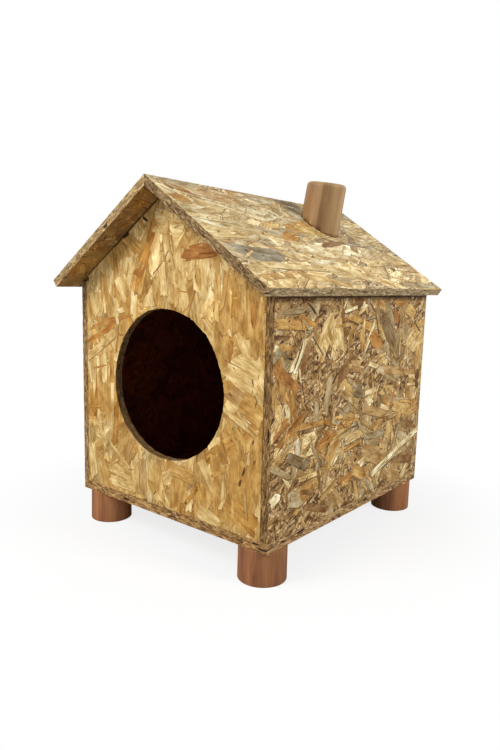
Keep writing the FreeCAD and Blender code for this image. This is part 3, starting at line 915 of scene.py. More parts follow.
def lifted_strands(name, board, strands):
    """Strands that stand a little proud of a board's face, each a thin closed chip."""
    body = bmesh.new()
    layers = Layers(body)
    for strand in strands:
        lift = board.rng.uniform(*LIFTS)
        curl = max(board.rng.uniform(*CURLS), 0.0)
        top, bottom = [], []
        for point in strand.outline:
            toward_end = max(strand.in_grain(point)[0] / strand.half, 0.0)
            rise = lift + curl * toward_end ** 3
            top.append(body.verts.new(board.place(point, -rise)))
            bottom.append(body.verts.new(board.place(point, RAISED_ROOT)))
        layers.paint(body.faces.new(top), strand, strand.outline)
        layers.paint(body.faces.new(bottom[::-1]), strand, strand.outline[::-1])
        for index, here in enumerate(strand.outline):
            after = (index + 1) % len(top)
            there = strand.outline[after]
            wall = body.faces.new((top[index], bottom[index], bottom[after], top[after]))
            layers.paint(wall, strand, (here, here, there, there))
    bmesh.ops.triangulate(body, faces=[f for f in body.faces if len(f.verts) > 4])
    bmesh.ops.recalc_face_normals(body, faces=body.faces)
    piece = finished(name, body, (STRAND_FACE,))
    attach(piece, "root")


def bracketed(table, degrees):
    """The entries of a table by bearing to either side of a bearing, and its share of the
    way between them."""
    table = table + ((table[0][0] + 360, table[0][1]),)
    for (low, first), (high, second) in zip(table, table[1:]):
        if low <= degrees < high:
            return first, second, (degrees - low) / (high - low)
    return table[-2][1], table[-2][1], 0.0


def entry_outline():
    """The round entry, clockwise, with the stray of a saw led by hand and small torn nicks."""
    found = []
    for step in range(ENTRY_STEPS):
        degrees = 360 - step * 360 / ENTRY_STEPS
        first, second, share = bracketed(ENTRY_STRAYS, degrees % 360)
        radius = ENTRY_RADIUS + (first + (second - first) * share)
        radius += RIM_WAVE * noise.noise(Vector((degrees * 0.13, 4.2, 0)))
        radius += NICK_REACH * max(noise.noise(Vector((degrees * 0.47, 7.7, 0))) - NICK_LEVEL, 0)
        turn = math.radians(degrees)
        found.append(ENTRY_CENTRE + Vector((math.cos(turn), math.sin(turn))) * radius)
    return found


def millimetres(name):
    """The low and high corners of a construction node, in millimetres."""
    low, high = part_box(name)
    return low / MM, high / MM


def rectangle(low_u, low_v, high_u, high_v):
    """Its corners, anticlockwise."""
    return [Vector(p) for p in ((low_u, low_v), (high_u, low_v), (high_u, high_v), (low_u, high_v))]


def gable_outline(low, high):
    """The pentagon of a gable panel: square below, its top edges at the roof's pitch."""
    half = high.x
    shoulder = high.z - half * math.tan(ROOF_PITCH)
    corners = (-half, low.z), (half, low.z), (half, shoulder), (0, high.z), (-half, shoulder)
    return [Vector(corner) for corner in corners]


FRONT = Style(
    palette=((CREAM, 3), (PALE, 6), (STRAW, 5), (GOLD, 7), (HONEY, 6), (AMBER, 3.2), (TAN, 0.8)),
    wash=(0.985, 0.965, 0.90), ground=GOLD, ground_bits=0.1, turn=mostly(88, 24, 0.25),
    under=((8, (80, 150), (26, 48)), (6, (50, 120), (12, 26))),
    over=((2, (30, 80), (5, 12)), (3, (10, 34), (1, 3))),
    look=(0.02, 1.06, 0.6), shade=(146, 98, 44), shaded=0.45, specks=(8, (BROWN, ORANGE, AMBER, AMBER, CREAM)))
SIDE = Style(
    palette=((BONE, 0.6), (CREAM, 2.5), (PALE, 4), (GOLD, 4), (TAN, 6), (HONEY, 4), (AMBER, 2), (ORANGE, 1.5),
             (BROWN, 5), (ASH, 5), (GREY, 3), (SLATE, 0.8)),
    wash=(0.985, 0.965, 0.91), ground=(180, 145, 98), ground_bits=1.0, turn=any_way,
    under=((3, (70, 120), (12, 28)), (8, (35, 90), (6, 15))),
    over=((5, (18, 50), (2, 6)), (9, (8, 26), (0.8, 2.6))),
    look=(0.10, 1.25, 0.65), shade=(80, 54, 28), shaded=0.6, specks=(20, (UMBER, DARK, BROWN, CREAM, BONE)),
    bare=((-190, 195, -20, 262), (-190, 58, 210, 84), (-40, 225, 60, 300)))
ROOF = Style(
    palette=((CREAM, 8), (PALE, 9), (STRAW, 6), (GOLD, 2), (TAN, 1.5), (ASH, 3.5), (GREY, 1), (BONE, 2),
             (BROWN, 0.4)),
    wash=(0.91, 0.92, 0.925), ground=(202, 172, 124), ground_bits=0.8, turn=mostly(6, 20, 0.15),
    under=((9, (80, 140), (18, 38)), (8, (45, 100), (9, 20))),
    over=((3, (22, 70), (3, 8)), (4, (10, 32), (1.2, 3.5))),
    look=(0.09, 1.15, 0.65), shade=(112, 82, 52), shaded=0.5, specks=(22, (UMBER, BROWN, BROWN, TAN, BONE)),
    fade=(1.06, 0.92))
# Inner faces and the base: a darker palette and wash, partly painted shade for the soffits under the eaves
PLAIN = Style(
    palette=((GOLD, 2), (TAN, 4), (HONEY, 4), (AMBER, 2), (BROWN, 4), (UMBER, 0.7)),
    wash=(0.88, 0.845, 0.755), ground=TAN, ground_bits=0.6, turn=any_way,
    under=((8, (70, 130), (20, 36)), (9, (40, 100), (8, 20))), over=((4, (15, 50), (2, 6)),),
    look=(0.10, 0.6, 0.5), shade=(90, 60, 32), shaded=0.3, specks=(6, (UMBER, DARK, CREAM)))

# Strands of the front that the photograph shows: start, end, width, colour (x right, z up)
FRONT_STRANDS = (
    ((100, 152), (106, 62), 34, HONEY), ((134, 160), (138, 58), 36, (192, 146, 78)),
    ((70, 110), (74, 58), 30, HONEY), ((156, 200), (158, 96), 22, HONEY), ((-132, 246), (-126, 150), 36, HONEY),
    ((-152, 206), (-156, 156), 24, AMBER), ((110, 364), (116, 296), 30, HONEY),
    ((142, 352), (146, 290), 26, HONEY), ((-20, 120), (-16, 60), 34, GOLD), ((-100, 340), (-96, 300), 26, GOLD),
    ((-146, 350), (-140, 300), 26, STRAW), ((30, 124), (26, 58), 30, HONEY), ((60, 396), (66, 340), 30, PALE),
    ((92, 376), (84, 334), 20, CREAM), ((-66, 400), (-84, 344), 32, PALE), ((-112, 386), (-122, 330), 24, PALE),
    ((22, 404), (26, 352), 22, STRAW), ((-36, 350), (-30, 322), 24, PALE), ((8, 452), (30, 446), 18, CREAM),
    ((-94, 366), (-70, 330), 24, STRAW), ((-96, 322), (-84, 310), 13, CREAM), ((-62, 300), (-60, 345), 14, PALE),
    ((-152, 300), (-138, 296), 9, CREAM), ((-128, 370), (-120, 320), 16, HONEY),
    ((-14, 446), (-32, 394), 14, (178, 122, 54), "lens"), ((-36, 404), (-48, 388), 6, ORANGE),
    ((-28, 406), (-58, 350), 15, (192, 134, 60)), ((-62, 370), (-46, 366), 10, (172, 118, 58)),
    ((-22, 434), (38, 422), 28, PALE), ((34, 389), (88, 396), 15, RUST),
    ((40, 396), (104, 400), 13, RUST, "lens"), ((28, 388), (60, 392), 9, RUST, "lens"),
    ((56, 375), (60, 345), 9, HONEY), ((88, 385), (92, 335), 8, GOLD), ((104, 372), (96, 322), 7, HONEY),
    ((118, 352), (116, 316), 9, AMBER), ((128, 360), (132, 318), 8, GOLD),
    ((144, 338), (146, 306), 8, ORANGE, "lens"), ((158, 345), (154, 300), 9, HONEY),
    ((108, 306), (112, 294), 5, CREAM), ((114, 292), (112, 268), 6, AMBER), ((102, 268), (158, 246), 38, PALE),
    ((104, 236), (134, 222), 20, TAN), ((102, 214), (158, 188), 18, PALE), ((128, 220), (164, 200), 36, HONEY),
    ((118, 184), (140, 162), 16, HONEY), ((126, 176), (134, 150), 10, GOLD), ((60, 75), (100, 56), 22, PALE),
    ((66, 138), (90, 100), 14, STRAW), ((86, 108), (102, 134), 4, AMBER, "lens"),
    ((104, 98), (118, 80), 6, ORANGE, "lens"), ((118, 92), (162, 72), 24, AMBER),
    ((53, 62), (57, 98), 4, AMBER, "lens"), ((46, 100), (48, 62), 14, PALE), ((2, 116), (58, 110), 18, HONEY),
    ((-44, 118), (-42, 60), 16, TAN), ((-30, 92), (-8, 62), 12, GOLD), ((-118, 92), (-66, 86), 17, STRAW),
    ((-120, 72), (-50, 70), 14, PALE), ((-60, 112), (-56, 62), 16, STRAW), ((-160, 120), (-150, 62), 18, PALE),
    ((-98, 220), (-102, 122), 11, (186, 136, 66)), ((-108, 262), (-110, 210), 9, HONEY),
    ((-126, 258), (-124, 208), 12, PALE), ((-146, 250), (-150, 186), 9, PALE),
    ((-168, 262), (-86, 304), 9, (186, 126, 56), "lens"), ((-162, 286), (-62, 314), 8, ORANGE, "lens"),
    ((-164, 244), (-100, 286), 12, PALE), ((-156, 228), (-118, 238), 3, ORANGE, "lens"),
    ((-166, 174), (-128, 176), 4, AMBER, "lens"), ((-154, 142), (-110, 138), 24, PALE),
    ((-68, 136), (-50, 120), 6, ORANGE, "lens"), ((-10, 350), (-14, 322), 12, HONEY),
    ((22, 352), (20, 322), 10, GOLD), ((-8, 384), (-2, 336), 14, PALE), ((2, 420), (8, 382), 16, PALE),
    ((-158, 330), (-156, 300), 6, AMBER, "lens"),
)
FRONT_MARKS = (
    ((12, 403), (-2, 384), 1.6, UMBER, "lens"), ((-2, 384), (-26, 361), 1.8, BROWN, "lens"),
    ((3, 414), (8, 415), 3, DARK), ((130, 118), (133, 128), 4, UMBER, "lens"),
    ((134, 130), (139, 144), 2.6, DARK, "lens"), ((61, 98), (63, 107), 3.5, DARK, "lens"),
    ((146, 250), (148, 240), 2.2, UMBER, "lens"), ((147, 238), (146, 230), 1.4, BROWN, "lens"),
    ((149, 172), (151, 179), 2.4, UMBER, "lens"), ((52, 62), (54, 78), 2.6, RUST, "lens"),
    ((-60, 344), (-58, 336), 1.8, BROWN), ((100, 268), (134, 259), 1.2, BROWN, "lens"),
    ((-144, 236), (-145, 186), 1.6, RUST, "lens"), ((-4, 408), (-6, 402), 1.8, BROWN),
    ((86, 372), (90, 344), 1.4, RUST, "lens"), ((142, 294), (145, 290), 2.0, BROWN),
    ((-70, 94), (-62, 97), 1.8, BROWN), ((20, 346), (44, 344), 1.6, ORANGE, "lens"),
    # Painted shade, with the small gaps of the joint: the three umber lines on the next line run along the
    # gable's top edges under the roof
    ((-164, 360), (-96, 405), 4, UMBER), ((-102, 401), (-36, 446), 4, UMBER), ((-42, 441), (-2, 468), 4, UMBER),
    ((108, 302), (112, 262), 5, ORANGE, "lens"), ((62, 150), (58, 132), 3, BROWN, "lens"),
    # Painted shade, with the small gaps of the joint: the dark lines from here to the end run along the gable's
    # top edges under the roof
    ((-163, 360.5), (-80, 416), 1.8, DARK), ((-84, 413), (-4, 467), 1.8, DARK),
    ((-82, 413), (-70, 420), 6, DARK), ((-44, 438), (-32, 432), 3.6, DARK, "lens"),
    ((-163, 356), (-158, 358), 7, DARK),
)
# The same for the right side (y back, z up)
SIDE_STRANDS = (
    ((-54, 236), (-8, 262), 18, BROWN), ((66, 212), (114, 202), 16, PALE), ((70, 186), (104, 172), 12, CREAM),
    ((-186, 314), (-120, 310), 12, HONEY), ((-176, 326), (-104, 330), 8, GREY),
    ((-188, 268), (-134, 232), 14, (170, 118, 60)), ((-186, 288), (-178, 284), 10, BONE),
    ((-176, 288), (-140, 284), 6, HONEY), ((-140, 322), (-102, 308), 8, AMBER),
    ((-120, 338), (-106, 322), 7, GREY), ((-100, 266), (-62, 318), 26, PALE), ((-64, 316), (-46, 262), 34, PALE),
    ((-62, 262), (-52, 290), 18, CREAM), ((-152, 254), (-124, 296), 11, BONE),
    ((-30, 318), (36, 300), 12, HONEY), ((-40, 324), (-6, 330), 5, BONE), ((-4, 322), (22, 336), 9, BONE),
    ((24, 318), (34, 322), 6, CREAM), ((16, 268), (47, 310), 9, BONE, "lens"), ((8, 300), (14, 270), 14, HONEY),
    ((30, 296), (66, 268), 20, ORANGE), ((62, 298), (80, 280), 5, PALE), ((74, 338), (100, 296), 14, GREY),
    ((46, 334), (140, 238), 24, (146, 122, 84), "lens"), ((106, 326), (108, 302), 14, RUST),
    ((96, 336), (140, 332), 8, ORANGE), ((140, 330), (170, 312), 18, GOLD), ((146, 262), (202, 292), 36, PALE),
    ((140, 246), (178, 276), 10, CREAM), ((-66, 248), (-76, 192), 12, ASH), ((-96, 218), (-92, 180), 10, ASH),
    ((-36, 226), (-28, 226), 9, BONE), ((-20, 252), (14, 250), 16, TAN), ((6, 232), (48, 256), 7, ASH),
    ((30, 252), (60, 244), 6, CREAM), ((60, 246), (130, 218), 16, ASH), ((24, 210), (66, 214), 7, CREAM),
    ((26, 196), (46, 198), 15, BONE), ((-6, 222), (24, 214), 22, SLATE), ((76, 238), (180, 226), 12, TAN),
    ((100, 202), (118, 184), 12, RUST), ((110, 190), (166, 182), 8, ASH), ((182, 218), (204, 208), 26, UMBER),
    ((158, 222), (188, 216), 8, CREAM), ((110, 182), (178, 164), 16, GOLD), ((20, 190), (100, 168), 13, TAN),
    ((-170, 196), (-154, 204), 6, ORANGE), ((-184, 182), (-152, 198), 6, RUST),
    ((-144, 188), (-70, 186), 7, HONEY), ((-80, 188), (-50, 176), 5, ORANGE),
    ((-46, 174), (-20, 173), 5, ORANGE), ((-98, 148), (-52, 172), 15, ORANGE),
    ((-96, 140), (-70, 150), 10, HONEY), ((-66, 128), (-36, 158), 20, GOLD), ((-30, 152), (28, 156), 14, PALE),
    ((-26, 138), (24, 144), 6, AMBER), ((30, 148), (92, 144), 11, GREY), ((-168, 160), (-128, 174), 6, ASH),
    ((-188, 152), (-146, 128), 8, ASH), ((-156, 158), (-110, 136), 14, SLATE), ((20, 128), (96, 102), 26, TAN),
    ((16, 107), (38, 114), 12, BONE), ((0, 108), (46, 86), 16, HONEY), ((-186, 104), (-166, 114), 14, BONE),
    ((-152, 104), (-116, 92), 20, ASH), ((56, 86), (206, 129), 10, BONE),
    ((70, 91), (190, 125), 8, BONE, "lens"), ((96, 82), (150, 60), 22, TAN), ((120, 96), (196, 84), 18, BROWN),
    ((40, 84), (66, 62), 9, ASH), ((-60, 98), (-20, 60), 14, TAN), ((-110, 84), (-60, 66), 10, BROWN),
    ((-48, 63), (-40, 66), 6, HONEY), ((140, 150), (204, 136), 14, BROWN), ((-12, 168), (0, 170), 4, BONE),
    ((0, 182), (16, 180), 5, CREAM), ((-130, 122), (-84, 122), 7, PALE), ((-84, 116), (-74, 138), 8, TAN),
    ((156, 208), (186, 206), 5, CREAM),
)
SIDE_MARKS = (
    ((22, 338), (44, 320), 2.6, UMBER, "lens"), ((44, 320), (60, 282), 3.0, UMBER, "lens"),
    ((-124, 338), (-104, 322), 3.2, DARK, "lens"), ((166, 305), (199, 284), 3.4, UMBER, "lens"),
    ((-148, 256), (-128, 296), 2.4, DARK, "lens"), ((90, 272), (124, 240), 2.4, UMBER, "lens"),
    ((-34, 316), (6, 304), 2.2, UMBER, "lens"), ((-80, 120), (-60, 162), 2.2, UMBER, "lens"),
    ((-62, 232), (-50, 246), 3.0, DARK), ((-34, 158), (-28, 138), 2.0, BROWN, "lens"),
    ((-12, 166), (2, 168), 2.4, DARK), ((4, 118), (12, 120), 4.0, DARK), ((138, 214), (152, 210), 4.0, UMBER),
    ((16, 226), (28, 220), 5.0, UMBER), ((-160, 176), (-176, 162), 2.4, UMBER, "lens"),
    ((-162, 150), (-150, 164), 2.2, DARK, "lens"), ((-102, 160), (-122, 142), 1.8, BONE, "lens"),
    ((-160, 274), (-148, 272), 3.0, DARK), ((-196, 302), (-150, 298), 1.8, UMBER, "lens"),
    ((-100, 272), (-96, 268), 4.0, DARK), ((52, 334), (130, 252), 1.6, BROWN, "lens"),
)
# Painted shade: a dark band close under the roof's eave, where the eave's shadow falls
EAVE_SHADE_PAINTED = tuple(((y, 344), (y + 56, 343.6), 4.4, (104, 74, 40)) for y in range(-204, 200, 44))
# The same for the right roof slope (y back, distance up the slope, zero at the ridge)
ROOF_STRANDS = (
    ((-214, -162), (-120, -168), 30, (150, 134, 104)), ((-224, -92), (-162, -90), 15, CREAM),
    ((-222, -128), (-150, -118), 22, PALE), ((-224, -52), (-188, -50), 16, AMBER),
    ((-206, -16), (-196, -30), 8, BROWN), ((-194, -26), (-168, -30), 7, RUST),
    ((-178, -44), (-110, -62), 8, CREAM), ((-120, -66), (-64, -76), 9, CREAM),
    ((-150, -24), (-76, -40), 26, TAN), ((-80, -126), (-28, -104), 24, ORANGE, "lens"),
    ((-52, -100), (52, -70), 24, HONEY), ((-10, -90), (60, -94), 20, GOLD),
    ((-78, -138), (6, -150), 28, (238, 214, 164)), ((-16, -152), (64, -160), 14, CREAM),
    ((-84, -174), (-8, -174), 12, BONE), ((0, -132), (84, -117), 11, BROWN, "lens"),
    ((20, -8), (84, -16), 14, SLATE), ((26, -26), (62, -34), 14, SLATE), ((-196, -188), (-60, -190), 12, PALE),
    ((-60, -200), (60, -208), 18, PALE), ((96, -116), (134, -110), 9, GREY), ((60, -170), (150, -160), 18, PALE),
    ((140, -60), (210, -40), 16, PALE), ((150, -100), (220, -84), 18, CREAM),
    ((150, -180), (222, -176), 20, TAN), ((-120, -100), (-60, -112), 12, ASH), ((-20, -20), (-50, -8), 12, ASH),
    ((-216, -214), (-150, -206), 10, HONEY),
)
ROOF_MARKS = (
    ((-214, -8), (-194, -13), 2.6, RUST, "lens"), ((-178, -12), (-150, -9), 2.2, BROWN, "lens"),
    ((-152, -20), (-126, -16), 2.2, RUST, "lens"), ((-122, -7), (-94, -12), 2.6, BROWN, "lens"),
    ((-90, -22), (-60, -15), 2.2, RUST, "lens"), ((-46, -8), (-12, -10), 2.4, BROWN, "lens"),
    ((-196, -36), (-160, -44), 2.4, BROWN, "lens"), ((-130, -36), (-104, -30), 2.0, RUST, "lens"),
    # Painted shadow: the three dark marks of the next line and the first of the line after lie round the
    # up-slope rim of the chimney's foot, where the gap under it is in shade
    ((64, -39), (49, -49), 2.6, DARK), ((50, -47), (42.5, -62), 2.6, DARK), ((42.5, -60), (43, -74), 2.2, DARK),
    ((43, -72), (47, -85), 1.6, DARK), ((0, -134), (12, -131), 5, UMBER), ((0, -188), (5, -186), 3, UMBER),
    ((18, -190), (28, -191), 3, UMBER), ((-160, -78), (-154, -81), 3, UMBER),
    ((140, -196), (150, -193), 2.4, BROWN), ((-8, -216), (14, -218), 2.6, BROWN),
    ((-82, -164), (-74, -167), 2.6, BROWN), ((-190, -16), (-172, -28), 2.2, UMBER, "lens"),
    ((106, -168), (114, -166), 2.2, BROWN),
)

# Sawn edges: their colour and contrast
WALL_EDGE = ((150, 116, 72), 0.8)
RIGHT_WALL_FRONT_EDGE = ((135, 101, 58), 0.87)
ROOF_EDGE = ((180, 155, 114), 0.62)
LEFT_ROOF_FRONT_EDGE = ((178, 147, 100), 0.7)
RIGHT_ROOF_FRONT_EDGE = ((139, 110, 72), 0.8)
BASE_EDGE = ((170, 134, 89), 0.85)
BASE_FRONT_EDGE = ((165, 125, 75), 0.78)
ENTRY_EDGE = ((126, 96, 58), 0.5)


def keep(piece, node):
    """Shows a piece in place of its construction node."""
    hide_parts(node)
    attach(piece, "root")


def box_of(outline):
    """Its lowest and highest places both ways."""
    across, up = [point.x for point in outline], [point.y for point in outline]
    return min(across), min(up), max(across), max(up)


def ground_of(rng, style):
    """The wood that shows between the strands: bits of wood alone."""
    ground = Strand(rng, (0, 0), 0, 600, 600, style.ground, style.look)
    ground.look = (style.ground_bits, style.look[1], 0.0)
    return ground


def faced(board, outline, inner_outline, style, extra=(), marks=()):
    """A board's outer face, in the given style, and its plain inner one, each as strands
    and the wood beneath them."""
    rng = board.rng
    strands = laid(rng, box_of(outline), style, extra, marks)
    inner = laid(rng, box_of(inner_outline), PLAIN)
    return (strands, ground_of(rng, style)), (inner, ground_of(rng, PLAIN))


def proud(rng, outline, style, density):
    """Strands for a board's face that stand proud of it, well inside its rim."""
    low_u, low_v, high_u, high_v = box_of(outline)
    layer = (density, RAISED_LENGTHS, RAISED_WIDTHS)
    strands = scattered(rng, box_of(outline), (layer,), style)
    low_u, low_v, high_u = low_u + RIM_MARGIN, low_v + RIM_MARGIN, high_u - RIM_MARGIN
    high_v -= TOP_MARGIN
    return [strand for strand in strands if all(
        low_u < point.x < high_u and low_v < point.y < high_v for point in strand.outline)]


def clear_of_rims(strand, ridge):
    """Whether a strand of the front gable keeps away from the slopes and from the entry."""
    height = strand.centre.y + abs(strand.centre.x) * math.tan(ROOF_PITCH)
    from_entry = (strand.centre - ENTRY_CENTRE).length - ENTRY_RADIUS
    return height < ridge - SLOPE_MARGIN and from_entry > ENTRY_MARGIN


def front_gable():
    """The front panel, with the entry."""
    low, high = millimetres("front_gable_panel")
    outline = gable_outline(low, high)
    board = Board("front_gable_board", (0, low.y, 0), (1, 0, 0), (0, 0, 1), high.y - low.y, 11, ENTRY_EDGE)
    faces = faced(board, outline, outline, FRONT, FRONT_STRANDS, FRONT_MARKS)
    raised = [strand for strand in proud(board.rng, outline, FRONT, 4) if clear_of_rims(strand, high.z)]
    piece = board.build(outline, outline, faces, [entry_outline()])
    keep(piece, "front_gable_panel")
    lifted_strands("front_gable_strands", board, raised)


def back_gable():
    """The back panel, seen from behind."""
    low, high = millimetres("back_gable_panel")
    outline = gable_outline(low, high)
    board = Board("back_gable_board", (0, high.y, 0), (-1, 0, 0), (0, 0, 1), high.y - low.y, 12, WALL_EDGE)
    faces = faced(board, outline, outline, FRONT)
    keep(board.build(outline, outline, faces), "back_gable_panel")


def side_board(node, name, side, seed, front_edge=None, extra=(), marks=()):
    """A side panel. side is 1 for the right one and -1 for the left."""
    low, high = millimetres(node)
    face = high.x if side > 0 else low.x
    ends = sorted((low.y * side, high.y * side))
    outline = rectangle(ends[0], low.z, ends[1], high.z)
    board = Board(name, (face, 0, 0), (0, side, 0), (0, 0, 1), high.x - low.x, seed, WALL_EDGE, front_edge)
    faces = faced(board, outline, outline, SIDE, extra, marks)
    raised = proud(board.rng, outline, SIDE, 6)
    keep(board.build(outline, outline, faces), node)
    lifted_strands(name.replace("board", "strands"), board, raised)


def roof_board(node, name, side, seed, front_edge, extra=(), marks=()):
    """A roof panel, mitred at the ridge. side is 1 for the right one and -1 for the left."""
    low, high = millimetres(node)
    slope = max(abs(low.x), abs(high.x)) / math.cos(ROOF_PITCH)
    thick = (high.z - low.z - slope * math.sin(ROOF_PITCH)) / math.cos(ROOF_PITCH)
    ends = sorted((low.y * side, high.y * side))
    outline = rectangle(ends[0], -slope, ends[1], 0)
    inner_outline = rectangle(ends[0], -slope, ends[1], -thick * math.tan(ROOF_PITCH))
    up = (-side * math.cos(ROOF_PITCH), 0, math.sin(ROOF_PITCH))
    board = Board(name, (0, 0, high.z), (0, side, 0), up, thick, seed, ROOF_EDGE, front_edge)
    faces = faced(board, outline, inner_outline, ROOF, extra, marks)
    raised = proud(board.rng, outline, ROOF, 5)
    keep(board.build(outline, inner_outline, faces), node)
    lifted_strands(name.replace("board", "strands"), board, raised)


def base():
    """The base board, its outer face down."""
    low, high = millimetres("base_board")
    outline = rectangle(low.x, -high.y, high.x, -low.y)
    thick = high.z - low.z
    board = Board("base_sheet", (0, 0, low.z), (1, 0, 0), (0, -1, 0), thick, 17, BASE_EDGE, BASE_FRONT_EDGE)
    keep(board.build(outline, outline, faced(board, outline, outline, PLAIN)), "base_board")


class Post:
    """A length of round wood, not quite true, with eased rims and checks in its ends.
    Its own x and y lie across it and z runs up it."""

    def __init__(self, name, radius, height, origin, axis, sideways, seed, tints_with_painted_light, sizes=(1.0, 1.0), drop=0.0):
        self.name, self.radius, self.height, self.seed, self.tints_with_painted_light = name, radius, height, seed, tints_with_painted_light
        self.sizes, self.drop = sizes, drop
        self.origin, self.axis = Vector(origin), Vector(axis).normalized()
        self.sideways = Vector(sideways).normalized()
        self.forward = self.axis.cross(self.sideways)
        self.rng = random.Random(seed)
        self.body = bmesh.new()
        self.wood = self.body.verts.layers.float_vector.new("wood")
        self.tint_with_painted_light = self.body.verts.layers.float_vector.new("tint_with_painted_light")
        self.checks = [(self.rng.uniform(0, 360), self.rng.uniform(0.4, 0.9)) for index in range(CHECKS)]

    def corner(self, x, y, z):
        """A corner of the mesh, with its place in the wood and its tint there, partly the wood's tone and partly
        painted light and shade.
        """
        spot = self.origin + self.sideways * x + self.forward * y + self.axis * z
        made = self.body.verts.new(spot * MM)
        made[self.wood] = Vector((x, y, z))
        outer = blended(*bracketed(self.tints_with_painted_light, math.degrees(math.atan2(y, x)) % 360))
        heart = self.tints_with_painted_light[-1][1]
        made[self.tint_with_painted_light] = Vector(blended(heart, outer, min(math.hypot(x, y) / self.radius, 1) ** 6))
        return made

    def skew(self, share, turn, z):
        """How much lower the post is here than one with a square top."""
        return self.drop * (1.1 - share * math.cos(turn - DROP_BEARING)) * max(z / self.height, 0)

    def sunk_at(self, share, turn, sunk):
        """How deep an end's face lies here, with the drying checks."""
        found = sunk
        for bearing, reach in self.checks:
            off = turn - math.radians(bearing)
            within = abs(math.sin(off)) < CHECK_SPREAD and math.cos(off) > 0
            if within and share < reach and sunk > 0:
                found += CHECK_DEPTH
        return found

    def ring(self, share, z, sunk=0.0):
        """Corners round the post at a share of its radius, sunk if they lie in an end."""
        size = self.sizes[0] + (self.sizes[1] - self.sizes[0]) * z / self.height
        side = 1 if z > self.height / 2 else -1
        found = []
        for step in range(POST_SEGMENTS):
            turn = 2 * math.pi * step / POST_SEGMENTS
            spot = Vector((math.cos(turn) * 1.2, math.sin(turn) * 1.2, z * 0.012 + self.seed * 5))
            true = self.radius * share * size - 0.1 + 0.3 * noise.noise(spot)
            height = z - side * self.sunk_at(share, turn, sunk) - self.skew(share, turn, z)
            found.append(self.corner(true * math.cos(turn), true * math.sin(turn), height))
        return found

    def eased(self, z, ease, inward):
        """Rings of a rounded rim, from the end's face to the side or back."""
        found = []
        for step in range(RIM_STEPS + 1):
            turn = math.pi / 2 * step / RIM_STEPS
            share = 1 - ease * (1 - math.sin(turn)) / self.radius
            found.append(self.ring(share, z + inward * ease * (1 - math.cos(turn))))
        return found

    def end_rings(self, z):
        """Rings of an end's face."""
        return [self.ring(share, z, 0.15 + 0.1 * self.rng.random()) for share in END_RINGS]

    def close(self, ring, z, inward):
        """Faces from the innermost ring of an end to its middle. inward is 1 at the low end."""
        middle = self.corner(0, 0, z + 0.2 * inward - self.skew(0, 0, z))
        for here, there in following(ring):
            pair = (there, here) if inward > 0 else (here, there)
            self.body.faces.new((*pair, middle))

    def cut_off(self, place, direction):
        """Takes off what lies beyond the plane at a place, and closes the cut."""
        everything = self.body.verts[:] + self.body.edges[:] + self.body.faces[:]
        result = bmesh.ops.bisect_plane(
            self.body, geom=everything, plane_co=place * MM, plane_no=direction, clear_inner=True)
        rim = [item for item in result["geom_cut"] if isinstance(item, bmesh.types.BMEdge)]
        bmesh.ops.contextual_create(self.body, geom=rim)

    def build(self, low_ease, high_ease, material, low=0, bevel=None):
        """The post as a closed mesh. low is where it starts, and bevel is a place and a
        direction of the plane that cuts its foot."""
        rings = self.end_rings(low) + self.eased(low, low_ease, 1)
        start, end = low + low_ease, self.height - high_ease
        rings += [self.ring(1, start + (end - start) * row / POST_ROWS) for row in range(1, POST_ROWS)]
        rings += self.eased(self.height, high_ease, -1)[::-1] + self.end_rings(self.height)[::-1]
        for lower, upper in zip(rings, rings[1:]):
            for (low_here, low_there), (high_here, high_there) in zip(following(lower), following(upper)):
                self.body.faces.new((low_here, low_there, high_there, high_here))
        self.close(rings[0], low, 1)
        self.close(rings[-1], self.height, -1)
        if bevel:
            self.cut_off(*bevel)
        for face in self.body.faces:
            face.smooth = True
        return finished(self.name, self.body, (material,))


# Tones round the chimney from its down-slope side: darker heartwood shows between two edges, and the light band
# from 0 to 14 degrees is a painted highlight
CHIMNEY_TINTS_WITH_HIGHLIGHT = (
    (0, (1.14, 1.20, 1.22)), (7, (1.36, 1.48, 1.52)), (14, (1.05, 1.09, 1.08)), (60, (0.8, 0.8, 0.8)),
    (215, (0.82, 0.78, 0.74)), (245, (0.99, 0.94, 0.86)), (291, (1.03, 1.03, 1.01)), (297, (0.56, 0.53, 0.48)),
    (316, (0.64, 0.62, 0.58)), (332, (1.00, 1.03, 1.02)),
)


def foot(node, seed, sizes, near, far):
    """near and far are how light its wood is on the front left and on the back right: partly its own tone and
    partly painted light and shade, lighter or darker as each foot is lit.
    """
    low, high = millimetres(node)
    middle = (low + high) / 2
    tints_with_painted_light = ((0, (far, far, far)), (230, (near, near, near)))
    post = Post(node.replace("foot", "post"), (high.x - low.x) / 2, high.z - low.z, (middle.x, middle.y, low.z),
                (0, 0, 1), (1, 0, 0), seed, tints_with_painted_light, sizes)
    keep(post.build(FOOT_EASE, FOOT_EASE, FOOT_WOOD), node)


